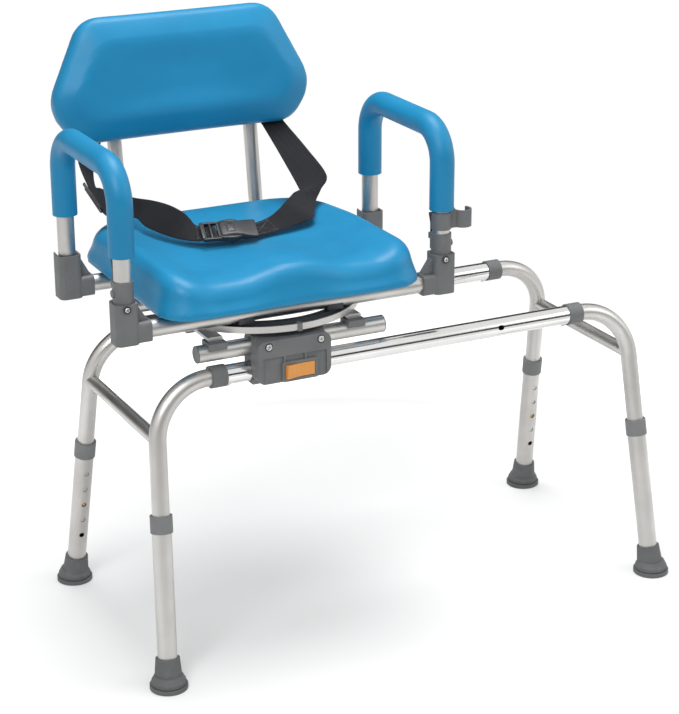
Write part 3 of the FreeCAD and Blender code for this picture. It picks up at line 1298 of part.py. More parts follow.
def pad_screw_places(side):
    up = unit(back_post_point(side, BACK_POST_TOP_Z) - back_post_point(side, PAD_BOTTOM_Z))
    return [back_post_point(side, PAD_BOTTOM_Z) + up * height for height in PAD_SCREW_HEIGHTS]


def seat_fasteners():
    shapes = [screw_on(vec(side * POST_X + BRACKET_SCREW_X, -SEAT_TUBE_Y - BRACKET_HALF,
                           BRACKET_FRONT_TOP_Z - BRACKET_SCREW_DROP)) for side in SIDES]
    shapes += arm_pins()
    moved = [shape.translated(vec(SEAT_REST_X, 0, 0)) for shape in shapes]
    for side in SIDES:
        for place in pad_screw_places(side):
            inward = pad_direction()
            head = rod(place - inward * (BACK_POST_RADIUS + SCREW_HEAD_HEIGHT),
                       place - inward * (BACK_POST_RADIUS - SCREW_RECESS), SCREW_HEAD_RADIUS)
            shank = rod(place - inward * BACK_POST_RADIUS,
                        place + inward * (BACK_POST_RADIUS + SCREW_LENGTH / 2),
                        SCREW_SHANK_RADIUS - TUBE_FIT)
            moved.append(join([head, shank]))
    return group(moved)


def screw_on(place):
    return rod(place - Y_AXIS * SCREW_HEAD_HEIGHT, place, SCREW_HEAD_RADIUS)


# Belt

# Each row: the lower and the upper edge of the webbing, each in shares of the cushion's half width,
# of its reach behind the middle and of the height between the cushion's crest and the backrest. The
# last row lies at the buckle's mouth.
RIGHT_STRAP_SHARES = (
    ((0.785, 1.173, 1.427), (0.620, 1.173, 1.427)),
    ((0.790, 1.167, 1.094), (0.620, 1.167, 1.094)),
    ((0.795, 1.140, 0.930), (0.620, 1.140, 0.920)),
    ((0.800, 1.042, 0.865), (0.624, 1.042, 0.840)),
    ((0.863, 0.832, 0.604), (0.634, 0.796, 0.531)),
    ((0.922, 0.626, 0.250), (0.654, 0.560, 0.135)),
    ((0.820, 0.525, 0.094), (0.590, 0.464, 0.167)),
    ((0.737, 0.446, -0.010), (0.522, 0.394, 0.198)),
    ((0.639, 0.298, -0.062), (0.434, 0.293, 0.208)),
    ((0.546, 0.149, -0.073), (0.356, 0.223, 0.188)),
    ((0.395, 0.092, -0.094), (0.288, 0.175, 0.135)),
    ((0.239, 0.039, -0.094), (0.176, 0.131, 0.062)),
    ((0.107, -0.035, -0.060), (0.107, 0.088, 0.050)),
    ((0.000, -0.070, -0.026), (0.020, 0.070, 0.078)),
)
LEFT_STRAP_SHARES = (
    ((-0.785, 1.173, 1.427), (-0.620, 1.173, 1.427)),
    ((-0.800, 1.167, 1.094), (-0.620, 1.167, 1.073)),
    ((-0.829, 1.140, 0.940), (-0.629, 1.140, 0.900)),
    ((-0.902, 1.024, 0.844), (-0.771, 1.037, 0.625)),
    ((-0.922, 0.858, 0.562), (-0.810, 0.941, 0.354)),
    ((-0.849, 0.700, 0.062), (-0.780, 0.906, 0.323)),
    ((-0.732, 0.674, -0.010), (-0.683, 0.853, 0.250)),
    ((-0.620, 0.656, -0.052), (-0.580, 0.775, 0.198)),
    ((-0.620, 0.490, -0.083), (-0.527, 0.551, 0.271)),
    ((-0.585, 0.333, -0.094), (-0.478, 0.376, 0.292)),
    ((-0.546, 0.236, -0.094), (-0.429, 0.271, 0.240)),
    ((-0.498, 0.140, -0.094), (-0.400, 0.219, 0.167)),
    ((-0.449, 0.053, -0.083), (-0.400, 0.184, 0.083)),
    ((-0.400, 0.013, -0.068), (-0.380, 0.144, 0.047)),
)
ROWS_ABOVE_ADJUSTER_COUNT = 3


def strap_point(shares):
    across, depth, height = shares
    return vec(SEAT_REST_X + across * CUSHION_HALF_WIDTH, depth * CUSHION_BACK_Y,
               CUSHION_SIDE_TOP_Z + BELT_LIFT + height * (PAD_BOTTOM_Z - CUSHION_SIDE_TOP_Z))


def strap_edges(rows, index):
    low, high = [strap_point(shares) for shares in rows[index]]
    return low, high, (low + high) / 2


def belt_box(first, second, half_length, half_width, half_thickness, edge):
    along = unit(second[2] - first[2])
    across = unit((first[1] - first[0]) + (second[1] - second[0]))
    across = unit(across - along * across.dot(along))
    return oriented_box((first[2] + second[2]) / 2, along, across, half_length, half_width,
                        half_thickness, edge)


def buckle_box(clearance, edge):
    left = strap_edges(LEFT_STRAP_SHARES, -1)
    right = strap_edges(RIGHT_STRAP_SHARES, -1)
    return belt_box(left, right, (right[2] - left[2]).Length / 2 + clearance,
                    BUCKLE_HALF_WIDTH + clearance, BUCKLE_HALF_THICKNESS + clearance, edge)


def strap(rows):
    points = [(strap_point(low), strap_point(high)) for low, high in rows]
    wires = []
    for index, (low, high) in enumerate(points):
        before = points[max(index - 1, 0)]
        after = points[min(index + 1, len(points) - 1)]
        run = (after[0] + after[1]) - (before[0] + before[1])
        normal = unit(run.cross(high - low)) * (BELT_THICKNESS / 2)
        corners = [low - normal, high - normal, high + normal, low + normal]
        wires.append(Part.makePolygon(corners + [corners[0]]))
    return Part.makeLoft(wires, True, True).cut(buckle_box(PAD_CLEARANCE, 0))


def belt_right():
    return strap(RIGHT_STRAP_SHARES)


def belt_left():
    return strap(LEFT_STRAP_SHARES)


def belt_buckle():
    return buckle_box(0, BUCKLE_EDGE)


def belt_adjuster():
    first = strap_edges(LEFT_STRAP_SHARES, ROWS_ABOVE_ADJUSTER_COUNT)
    second = strap_edges(LEFT_STRAP_SHARES, ROWS_ABOVE_ADJUSTER_COUNT + 1)
    body = belt_box(first, second, ADJUSTER_HALF_LENGTH, ADJUSTER_HALF_WIDTH, ADJUSTER_HALF_THICKNESS,
                    BUCKLE_EDGE / 2)
    slot = belt_box(first, second, ADJUSTER_HALF_LENGTH + OVERRUN, ADJUSTER_SLOT_HALF_WIDTH,
                    ADJUSTER_SLOT_HALF_THICKNESS, 0)
    return body.cut(slot).cut(belt_left())


def build():
    pieces = {
        "rail_front": rail(-1),
        "rail_back": rail(1),
        "frame_tubes_left": frame_tubes(-1),
        "frame_tubes_right": frame_tubes(1),
        "cross_braces": cross_braces(),
        "rail_collars": rail_collars(),
        "button_springs": button_springs(),
        "carriage_tubes": carriage_tubes(),
        "carriage_end_caps": carriage_end_caps(),
        "cross_bars": cross_bars(),
        "saddles": saddles(),
        "slider_block_front": slider_block_front(),
        "slider_block_back": slider_block_back(),
        "block_screws": block_screws(),
        "slide_lock_rocker": slide_lock_rocker(),
        "slide_lock_pin": slide_lock_pin(),
        "swivel_base_ring": swivel_base_ring(),
        "swivel_turn_ring": swivel_turn_ring(),
        "ring_clips": ring_clips(),
        "seat_tubes": seat_tubes(),
        "seat_cross_tubes": seat_cross_tubes(),
        "back_posts": back_posts(),
        "seat_cushion": seat_cushion(),
        "backrest_cushion": backrest_cushion(),
        "arm_brackets_front": on_seat([arm_bracket_front(side) for side in SIDES]),
        "arm_brackets_back": on_seat([arm_bracket_back(side) for side in SIDES]),
        "seat_fasteners": seat_fasteners(),
        "belt_right": belt_right(),
        "belt_left": belt_left(),
        "belt_buckle": belt_buckle(),
        "belt_adjuster": belt_adjuster(),
        "accessory_clip": accessory_clip(),
    }
    for name, (side, depth) in CORNERS.items():
        pieces["rail_button_" + name] = rail_button(side, depth)
        pieces["leg_button_" + name] = leg_button(side, depth)
        pieces["leg_extension_" + name] = leg_extension(side, depth)
        pieces["leg_collar_" + name] = leg_collar(side, depth)
        pieces["foot_" + name] = foot(side, depth)
    for name, side in (("left", -1), ("right", 1)):
        pieces["armrest_tube_" + name] = armrest_tube(side)
        pieces["armrest_grip_" + name] = armrest_grip(side)
        pieces["armrest_sleeve_" + name] = armrest_sleeve(side)
        pieces["arm_lever_" + name] = arm_lever(side)
    return pieces


def main():
    os.makedirs("parts", exist_ok=True)
    for name, shape in build().items():
        placed = shape.translated(vec(0, DEPTH_SHIFT, 0))
        placed.exportStep("parts/" + name + ".step")
        bounds = placed.BoundBox
        print(name, len(placed.Solids), placed.isValid(), round(placed.Volume),
              [round(value, 1) for value in (bounds.XMin, bounds.YMin, bounds.ZMin,
                                             bounds.XMax, bounds.YMax, bounds.ZMax)])


main()
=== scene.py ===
import logging
import math
from dataclasses import dataclass, field
from enum import Enum
from typing import Any, Callable, Iterable, Sequence

import bmesh
import bpy
import numpy
from mathutils import Matrix, Vector


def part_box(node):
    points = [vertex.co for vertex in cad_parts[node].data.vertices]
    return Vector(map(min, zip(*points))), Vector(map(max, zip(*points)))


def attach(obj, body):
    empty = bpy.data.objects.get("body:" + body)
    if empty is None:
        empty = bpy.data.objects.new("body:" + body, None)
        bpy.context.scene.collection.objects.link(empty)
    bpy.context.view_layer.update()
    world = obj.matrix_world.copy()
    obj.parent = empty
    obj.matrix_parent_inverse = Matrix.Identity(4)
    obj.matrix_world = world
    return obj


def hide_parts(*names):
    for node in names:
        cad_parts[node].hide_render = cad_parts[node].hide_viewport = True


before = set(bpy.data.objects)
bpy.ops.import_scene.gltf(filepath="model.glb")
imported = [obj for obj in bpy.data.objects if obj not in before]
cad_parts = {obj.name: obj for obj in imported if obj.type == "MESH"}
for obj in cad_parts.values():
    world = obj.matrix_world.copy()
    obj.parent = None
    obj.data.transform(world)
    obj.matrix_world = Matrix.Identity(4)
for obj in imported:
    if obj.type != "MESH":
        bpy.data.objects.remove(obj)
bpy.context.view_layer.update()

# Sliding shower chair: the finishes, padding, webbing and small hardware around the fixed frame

LOG = logging.getLogger("shower_chair")

Colour = tuple[float, float, float]
Place = tuple[float, float, float]

MILLIMETRE = 0.001
WELD = 1e-5
CORNERS = ("front_left", "front_right", "back_left", "back_right")


class Body(Enum):
    """The moving bodies that the dressed pieces ride on."""

    CARRIAGE = "carriage"
    SEAT = "seat"
    ARM_LEFT = "armrest_left"
    ARM_RIGHT = "armrest_right"


class Slot(Enum):
    """The record's material slots for the dressed pieces; nothing in the script reads them."""

    FOAM = "blue_foam"
    WEBBING = "webbing"
    DARK_PLASTIC = "dark_plastic"
    STEEL = "steel"


# Places that the frame fixes

@dataclass(frozen=True)
class Layout:
    """Places read from the fixed frame, in metres.

    Args:
        depth: Y of the middle of the base.
        seat_x: X of the swivel's axis at rest.
    """

    depth: float
    seat_x: float

    @classmethod
    def read(cls) -> "Layout":
        """Reads the layout from the rails and the swivel ring.

        Returns:
            The places of the base's middle and of the swivel.
        """
        front_low, front_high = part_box("rail_front")
        back_low, back_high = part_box("rail_back")
        ring_low, ring_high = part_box("swivel_base_ring")
        depth = (front_low.y + front_high.y + back_low.y + back_high.y) / 4
        return cls(depth, (ring_low.x + ring_high.x) / 2)

    def at(self, across: float, depth: float, height: float) -> Vector:
        """Gives a place from millimetres across the seat, behind the base's middle, and up.

        Args:
            across: Distance from the swivel's axis, towards the right.
            depth: Distance behind the middle of the base.
            height: Height over the floor.

        Returns:
            The place in metres.
        """
        return Vector((self.seat_x + across * MILLIMETRE, self.depth + depth * MILLIMETRE,
                       height * MILLIMETRE))


# Node trees

class NodeSheet:
    """Short calls that add nodes to one tree and join them."""

    def __init__(self, tree: bpy.types.NodeTree) -> None:
        """Keeps the tree and clears it.

        Args:
            tree: The node tree to fill.
        """
        self.tree = tree
        self.tree.nodes.clear()

    def add(self, kind: str, values: dict[Any, Any] | None = None, **settings: Any) -> bpy.types.Node:
        """Adds a node, sets its properties, then its inputs, each a value or another socket.

        Args:
            kind: The node's type name.
            values: Inputs by name or index.
            **settings: The node's own properties.

        Returns:
            The new node.
        """
        node = self.tree.nodes.new(kind)
        for name, setting in settings.items():
            setattr(node, name, setting)
        for key, value in (values or {}).items():
            if isinstance(value, bpy.types.NodeSocket):
                self.tree.links.new(value, node.inputs[key])
            else:
                node.inputs[key].default_value = value
        return node

    def math(self, operation: str, first: Any, second: Any = 0.0) -> bpy.types.NodeSocket:
        """Adds a math node.

        Args:
            operation: The operation's name.
            first: The first number or socket.
            second: The second number or socket.

        Returns:
            The result's socket.
        """
        return self.add("ShaderNodeMath", {0: first, 1: second}, operation=operation).outputs[0]


class Shader(NodeSheet):
    """A material around one Principled shader."""

    def __init__(self, name: str) -> None:
        """Makes the material with its shader and output.

        Args:
            name: The material's name.
        """
        self.material = bpy.data.materials.new(name)
        self.material.use_nodes = True
        super().__init__(self.material.node_tree)
        self.surface = self.add("ShaderNodeBsdfPrincipled")
        self.add("ShaderNodeOutputMaterial", {"Surface": self.surface.outputs[0]})
        self.object_place = self.add("ShaderNodeTexCoord").outputs["Object"]

    def set(self, **values: float | tuple[float, ...]) -> None:
        """Sets the shader's own sockets, with underscores for the spaces in their names.

        Args:
            **values: Values by socket name.
        """
        for name, value in values.items():
            self.surface.inputs[name.replace("_", " ")].default_value = value

    def noise(self, scale: float, detail: float = 3.0,
              stretch: Place = (1.0, 1.0, 1.0)) -> bpy.types.NodeSocket:
        """Adds noise over the object's own coordinates.

        Args:
            scale: Cells in a metre.
            detail: Octaves.
            stretch: How much finer the noise is along each axis.

        Returns:
            The noise value's socket.
        """
        mapping = self.add("ShaderNodeMapping", {"Vector": self.object_place, "Scale": stretch})
        node = self.add("ShaderNodeTexNoise",
                        {"Vector": mapping.outputs[0], "Scale": scale, "Detail": detail})
        return node.outputs[0]

    def pebble(self, scale: float) -> bpy.types.NodeSocket:
        """Adds rounded cells, as a moulded skin or a blasted tool leaves.

        Args:
            scale: Cells in a metre.

        Returns:
            The distance socket of the cells.
        """
        node = self.add("ShaderNodeTexVoronoi", {"Vector": self.object_place, "Scale": scale},
                        feature="SMOOTH_F1")
        return node.outputs["Distance"]

    def spread(self, source: bpy.types.NodeSocket, low: float, high: float, start: float = 0.3,
               end: float = 0.7) -> bpy.types.NodeSocket:
        """Maps a stretch of a value onto another stretch.

        Args:
            source: The value.
            low: The result at the start.
            high: The result at the end.
            start: Where the stretch starts.
            end: Where the stretch ends.

        Returns:
            The mapped value's socket.
        """
        node = self.add("ShaderNodeMapRange", {0: source, 1: start, 2: end, 3: low, 4: high})
        return node.outputs[0]

    def blend(self, share: bpy.types.NodeSocket | float, first: Any, second: Any) -> bpy.types.NodeSocket:
        """Mixes two colours.

        Args:
            share: The second colour's share.
            first: A colour or its socket.
            second: A colour or its socket.

        Returns:
            The mixed colour's socket.
        """
        colours = [value if isinstance(value, bpy.types.NodeSocket) else (*value, 1.0)
                   for value in (first, second)]
        node = self.add("ShaderNodeMix", {0: share, 6: colours[0], 7: colours[1]}, data_type="RGBA")
        return node.outputs[2]

    def relief(self, height: bpy.types.NodeSocket, depth: float, strength: float = 1.0,
               under: bpy.types.NodeSocket | None = None) -> bpy.types.NodeSocket:
        """Turns a height into a bumped normal.

        Args:
            height: The height's socket.
            depth: The bump's depth in metres.
            strength: The bump's strength.
            under: A normal that this bump lies on.

        Returns:
            The normal's socket.
        """
        values = {"Height": height, "Distance": depth, "Strength": strength}
        if under is not None:
            values["Normal"] = under
        return self.add("ShaderNodeBump", values).outputs[0]

    def finish(self, colour: bpy.types.NodeSocket, roughness: bpy.types.NodeSocket,
               normal: bpy.types.NodeSocket) -> bpy.types.Material:
        """Joins colour, roughness and normal to the shader.

        Args:
            colour: The base colour.
            roughness: The roughness.
            normal: The bumped normal.

        Returns:
            The finished material.
        """
        links = self.tree.links
        links.new(colour, self.surface.inputs["Base Color"])
        links.new(roughness, self.surface.inputs["Roughness"])
        links.new(normal, self.surface.inputs["Normal"])
        return self.material


# Finishes

@dataclass(frozen=True)
class Metal:
    """A bare, anodised, plated or polished metal.

    Args:
        name: The material's name.
        colour: The base colour.
        tarnish: The colour of duller patches.
        roughness: The mean roughness.
        grain: Blasted grains in a metre.
        grain_depth: Depth of the grain in metres.
        lines: How drawn lines stretch along each axis, finer where larger.
        line_depth: Depth of the drawn lines in metres.
    """

    name: str
    colour: Colour
    tarnish: Colour
    roughness: float
    grain: float = 2600.0
    grain_depth: float = 0.00002
    lines: Place = (1.0, 1.0, 1.0)
    line_depth: float = 0.0

    def build(self) -> bpy.types.Material:
        """Builds the metal with its grain, drawn lines, dull patches and fine scratches."""
        shader = Shader(self.name)
        shader.set(Metallic=1.0)
        patches = shader.noise(14.0, 4.0)
        grain = shader.noise(self.grain, 2.0)
        drawn = shader.noise(30.0, 5.0, self.lines)
        scratches = shader.noise(55.0, 2.0, (1.0, 22.0, 9.0))
        scratch = shader.spread(scratches, 0.0, 1.0, 0.66, 0.7)
        toned = shader.blend(shader.spread(patches, 0.0, 1.0, 0.3, 0.72), self.colour, self.tarnish)
        colour = shader.blend(shader.spread(drawn, 0.0, 0.25), toned, self.tarnish)
        rough = shader.spread(patches, self.roughness * 0.85, self.roughness * 1.2)
        worn = shader.math("ADD", rough, shader.math("MULTIPLY", scratch, 0.06))
        normal = shader.relief(grain, self.grain_depth)
        if self.line_depth:
            normal = shader.relief(drawn, self.line_depth, 1.0, normal)
        return shader.finish(colour, worn, normal)


@dataclass(frozen=True)
class MouldedPlastic:
    """A moulded plastic or rubber with the texture of its tool.

    Args:
        name: The material's name.
        colour: The base colour.
        roughness: The mean roughness.
        texture: Cells of the tool's texture in a metre.
        texture_depth: Depth of the texture in metres.
        coat: Weight of a clear gloss on top.
        scuff: Share of pale scuffing.
    """

    name: str
    colour: Colour
    roughness: float
    texture: float = 1500.0
    texture_depth: float = 0.00005
    coat: float = 0.0
    scuff: float = 0.16

    def build(self) -> bpy.types.Material:
        """Builds the plastic with flow marks, tool texture and pale scuffs."""
        shader = Shader(self.name)
        shader.set(Coat_Weight=self.coat, Coat_Roughness=0.12, Specular_IOR_Level=0.45)
        flow = shader.noise(22.0, 4.0, (1.0, 1.0, 1.6))
        cells = shader.pebble(self.texture)
        rub = shader.noise(90.0, 6.0, (1.0, 1.7, 0.6))
        pale = tuple(min(channel * 1.55 + 0.02, 1.0) for channel in self.colour)
        deep = tuple(channel * 0.86 for channel in self.colour)
        toned = shader.blend(shader.spread(flow, 0.0, 1.0), self.colour, deep)
        scuffed = shader.spread(rub, 0.0, self.scuff, 0.56, 0.72)
        colour = shader.blend(scuffed, toned, pale)
        rough = shader.spread(flow, self.roughness * 0.9, self.roughness * 1.12)
        worn = shader.math("ADD", rough, shader.math("MULTIPLY", scuffed, 0.5))
        return shader.finish(colour, worn, shader.relief(cells, self.texture_depth, 0.8))


@dataclass(frozen=True)
class FoamSkin:
    """Moulded foam with its own smooth skin.

    Args:
        name: The material's name.
        colour: The base colour.
        shade: The colour of deeper patches.
        roughness: The mean roughness.
        pebble: Cells of the skin's texture in a metre.
        pebble_depth: Depth of the skin's texture in metres.
    """

    name: str
    colour: Colour
    shade: Colour
    roughness: float = 0.42
    pebble: float = 1100.0
    pebble_depth: float = 0.00005

    def build(self) -> bpy.types.Material:
        """Builds the skin with a soft pebble, slow swells, colour drift, painted shade in its pores and a
        satin sheen.
        """
        shader = Shader(self.name)
        shader.set(Sheen_Weight=0.03, Sheen_Roughness=0.45, Specular_IOR_Level=0.34)
        drift = shader.noise(9.0, 3.0)
        swell = shader.noise(26.0, 2.0)
        skin = shader.pebble(self.pebble)
        # Painted shade: small dark specks where the skin's pores would hold shadow.
        painted_pore_shade = shader.spread(shader.noise(700.0, 2.0), 0.0, 1.0, 0.28, 0.36)
        toned = shader.blend(shader.spread(drift, 0.0, 1.0), self.colour, self.shade)
        colour = shader.blend(shader.math("SUBTRACT", 1.0, painted_pore_shade), toned, self.shade)
        rough = shader.spread(swell, self.roughness * 0.9, self.roughness * 1.12)
        slow = shader.relief(swell, 0.0006, 0.35)
        return shader.finish(colour, rough, shader.relief(skin, self.pebble_depth, 0.7, slow))


@dataclass(frozen=True)
class Webbing:
    """Woven strap, patterned along the UV map's metres.

    Args:
        name: The material's name.
        yarn: The yarns' colour.
        gap: The colour painted between the yarns as shade, where the weave is low.
        pitch: Length of one woven rib in metres.
        stripe: Width of one leg of the herringbone in metres.
        depth: Depth of the weave in metres.
    """

    name: str
    yarn: Colour
    gap: Colour
    pitch: float = 0.0017
    stripe: float = 0.0048
    depth: float = 0.00035

    def build(self) -> bpy.types.Material:
        """Builds the herringbone weave with fuzz, uneven dye, painted shade between the yarns and painted
        highlights on the raised ribs.
        """
        shader = Shader(self.name)
        shader.set(Sheen_Weight=0.03, Sheen_Roughness=0.6, Specular_IOR_Level=0.22)
        uv_map = shader.add("ShaderNodeUVMap", uv_map="weave")
        split = shader.add("ShaderNodeSeparateXYZ", {0: uv_map.outputs[0]})
        zigzag = shader.math("PINGPONG", split.outputs[1], self.stripe)
        along = shader.math("ADD", split.outputs[0], zigzag)
        ribs = shader.math("SINE", shader.math("MULTIPLY", along, math.tau / self.pitch))
        warp = shader.math("SINE", shader.math("MULTIPLY", split.outputs[1], math.tau / (self.pitch * 0.8)))
        height = shader.math("ADD", ribs, shader.math("MULTIPLY", warp, 0.4))
        fuzz = shader.noise(2400.0, 3.0)
        dye = shader.noise(60.0, 3.0)
        # Painted shade and light by the weave's height: the gap colour in the low places, the yarn colour
        # on the ribs.
        lit = shader.spread(height, 0.0, 1.0, -0.9, 1.2)
        woven = shader.blend(lit, self.gap, self.yarn)
        # The pale yarn colour is partly uneven dye and partly a painted highlight, since it only shows
        # where the ribs are raised.
        faded = tuple(channel * 1.7 for channel in self.yarn)
        colour = shader.blend(shader.math("MULTIPLY", shader.spread(dye, 0.0, 0.35), lit), woven, faded)
        rough = shader.spread(fuzz, 0.66, 0.9)
        soft = shader.relief(fuzz, 0.00008, 0.6)
        return shader.finish(colour, rough, shader.relief(height, self.depth * 0.3, 0.8, soft))


@dataclass(frozen=True)
class Thread:
    """Twisted sewing thread."""

    name: str
    colour: Colour

    def build(self) -> bpy.types.Material:
        """Builds the thread with its fine twist, painted darker in the twist's grooves as shade."""
        shader = Shader(self.name)
        shader.set(Sheen_Weight=0.25, Sheen_Roughness=0.5)
        twist = shader.noise(3200.0, 2.0, (1.0, 0.4, 1.0))
        deep = tuple(channel * 0.5 for channel in self.colour)
        # Painted shade: the thread is darker where the twist's bump is low, in its grooves.
        colour = shader.blend(shader.spread(twist, 0.0, 1.0), deep, self.colour)
        return shader.finish(colour, shader.spread(twist, 0.5, 0.75), shader.relief(twist, 0.00005, 0.7))


class FinishBook:
    """Builds each finish once and dresses pieces and frame nodes with it."""

    FINISHES = {
        "matte_tube": Metal("anodised_tube", (0.58, 0.57, 0.55), (0.49, 0.48, 0.46), 0.38,
                            grain=2300.0, grain_depth=0.00004),
        "bright_tube": Metal("bright_tube", (0.80, 0.80, 0.79), (0.66, 0.66, 0.65), 0.14,
                             grain=900.0, grain_depth=0.000008, lines=(0.15, 26.0, 26.0),
                             line_depth=0.00002),
        "steel": Metal("zinc_steel", (0.66, 0.66, 0.66), (0.42, 0.42, 0.42), 0.27),
        "brass": Metal("brass_button", (0.62, 0.40, 0.15), (0.40, 0.24, 0.10), 0.30),
        "grey_plastic": MouldedPlastic("grey_plastic", (0.148, 0.152, 0.154), 0.52),
        "pale_plastic": MouldedPlastic("pale_grey_plastic", (0.205, 0.208, 0.212), 0.55),
        "dark_plastic": MouldedPlastic("dark_plastic", (0.060, 0.062, 0.066), 0.46),
        "black_plastic": MouldedPlastic("black_plastic", (0.022, 0.022, 0.025), 0.34, scuff=0.05),
        "orange_plastic": MouldedPlastic("orange_plastic", (0.76, 0.31, 0.055), 0.36, coat=0.25,
                                         scuff=0.08),
        "rubber": MouldedPlastic("foot_rubber", (0.128, 0.132, 0.134), 0.66, texture=900.0,
                                 texture_depth=0.00007, scuff=0.3),
        "foam": FoamSkin("blue_foam_skin", (0.008, 0.232, 0.448), (0.006, 0.200, 0.395)),
        "webbing": Webbing("black_webbing", (0.014, 0.014, 0.018), (0.005, 0.005, 0.006)),
        "thread": Thread("black_thread", (0.055, 0.054, 0.060)),
    }

    def __init__(self) -> None:
        """Starts with no material built."""
        self.built: dict[str, bpy.types.Material] = {}

    def get(self, name: str) -> bpy.types.Material:
        """Gives a finish, building it the first time.

        Args:
            name: The finish's key.

        Returns:
            Its material.
        """
        if name not in self.built:
            self.built[name] = self.FINISHES[name].build()
        return self.built[name]

    def dress(self, piece: bpy.types.Object, name: str) -> None:
        """Gives every slot of a piece one finish.

        Args:
            piece: The object to dress.
            name: The finish's key.
        """
        material = self.get(name)
        if not piece.data.materials:
            piece.data.materials.append(material)
        for index in range(len(piece.data.materials)):
            piece.data.materials[index] = material
        LOG.info("%s is finished in %s", piece.name, name)


# Mesh helpers

def link_object(name: str, data: bpy.types.ID) -> bpy.types.Object:
    """Puts data into the scene as a new object."""
    piece = bpy.data.objects.new(name, data)
    bpy.context.scene.collection.objects.link(piece)
    return piece


def mesh_object(name: str, build: bmesh.types.BMesh, smooth_angle: float | None = None) -> bpy.types.Object:
    """Turns a built mesh into a linked object with outward faces.

    Args:
        name: The object's name.
        build: The mesh, which is freed.
        smooth_angle: Edges over this angle in radians stay sharp; None leaves all smooth.

    Returns:
        The object.
    """
    bmesh.ops.recalc_face_normals(build, faces=build.faces[:])
    for face in build.faces:
        face.smooth = True
    data = bpy.data.meshes.new(name)
    build.to_mesh(data)
    build.free()
    if smooth_angle is not None:
        data.set_sharp_from_angle(angle=smooth_angle)
    return link_object(name, data)


def skin_rings(build: bmesh.types.BMesh, rings: Sequence[Sequence[Vector]]) -> None:
    """Joins closed rings of points into a skin of quads, with a fan over both ends.

    Args:
        build: The mesh to add to.
        rings: Rings with the same number of points.
    """
    made = [[build.verts.new(point) for point in ring] for ring in rings]
    count = len(rings[0])
    for low, high in zip(made, made[1:]):
        for index in range(count):
            step = (index + 1) % count
            build.faces.new((low[index], low[step], high[step], high[index]))
    for ring in (made[0], made[-1]):
        middle = build.verts.new(sum((vert.co for vert in ring), Vector()) / count)
        for index in range(count):
            build.faces.new((ring[index], ring[(index + 1) % count], middle))


def rounded_polygon(corners: Sequence[tuple[float, float]], radii: Sequence[float],
                    steps: int) -> list[tuple[float, float]]:
    """Walks round a polygon whose corners are arcs.

    Args:
        corners: The corners in order.
        radii: The radius at each corner.
        steps: Points on each arc.

    Returns:
        The outline's points.
    """
    outline = []
    count = len(corners)
    for index, radius in enumerate(radii):
        corner = Vector(corners[index])
        before = (Vector(corners[index - 1]) - corner).normalized()
        after = (Vector(corners[(index + 1) % count]) - corner).normalized()
        half_angle = before.angle(after) / 2
        centre = corner + (before + after).normalized() * (radius / math.sin(half_angle))
        start = corner + before * (radius / math.tan(half_angle)) - centre
        end = corner + after * (radius / math.tan(half_angle)) - centre
        sweep = start.angle_signed(end)
        for step in range(steps):
            turned = start.copy()
            turned.rotate(Matrix.Rotation(-sweep * step / (steps - 1), 2))
            outline.append(tuple(centre + turned))
    return outline


def even_outline(outline: Sequence[tuple[float, float]], count: int) -> list[tuple[float, float]]:
    """Spaces an outline's points evenly.

    Args:
        outline: A closed outline.
        count: How many points to give.

    Returns:
        Points at even steps along it.
    """
    points = [Vector(point) for point in outline]
    points.append(points[0])
    lengths = [(after - before).length for before, after in zip(points, points[1:])]
    step = sum(lengths) / count
    result = []
    walked = 0.0
    target = 0.0
    for before, after, length in zip(points, points[1:], lengths):
        while target < walked + length and len(result) < count:
            result.append(tuple(before.lerp(after, (target - walked) / length)))
            target += step
        walked += length
    return result


def smooth_step(value: float, start: float, end: float) -> float:
    """Rises from 0 at start to 1 at end with flat ends."""
    share = min(max((value - start) / (end - start), 0.0), 1.0)
    return share * share * (3 - 2 * share)


def table_value(table: Sequence[tuple[float, float]], place: float) -> float:
    """Reads a table of place and value with smooth blends between its rows.

    Args:
        table: Rows of place and value, in order.
        place: Where to read it.

    Returns:
        The blended value.
    """
    if place <= table[0][0]:
        return table[0][1]
    for (start, low), (end, high) in zip(table, table[1:]):
        if place <= end:
            return low + (high - low) * smooth_step(place, start, end)
    return table[-1][1]


def curve_points(points: Sequence[Vector], steps: int) -> list[Vector]:
    """Runs a smooth curve through a few points.

    Args:
        points: The points to pass.
        steps: New points on each stretch.

    Returns:
        The curve's points.
    """
    result = []
    count = len(points)
    for index in range(count - 1):
        first = points[max(index - 1, 0)]
        start, end = points[index], points[index + 1]
        last = points[min(index + 2, count - 1)]
        for step in range(steps):
            t = step / steps
            result.append(0.5 * ((2 * start) + (end - first) * t
                                 + (2 * first - 5 * start + 4 * end - last) * t * t
                                 + (3 * start - first - 3 * end + last) * t ** 3))
    result.append(points[-1].copy())
    return result


def apply_modifiers(piece: bpy.types.Object) -> bpy.types.Object:
    """Bakes a piece's modifiers into its mesh.

    Args:
        piece: The object to bake.

    Returns:
        The same object with a plain mesh.
    """
    graph = bpy.context.evaluated_depsgraph_get()
    baked = bpy.data.meshes.new_from_object(piece.evaluated_get(graph), preserve_all_data_layers=True,
                                            depsgraph=graph)
    old = piece.data
    piece.modifiers.clear()
    piece.data = baked
    baked.name = piece.name
    bpy.data.meshes.remove(old)
    return piece


# Geometry node trees

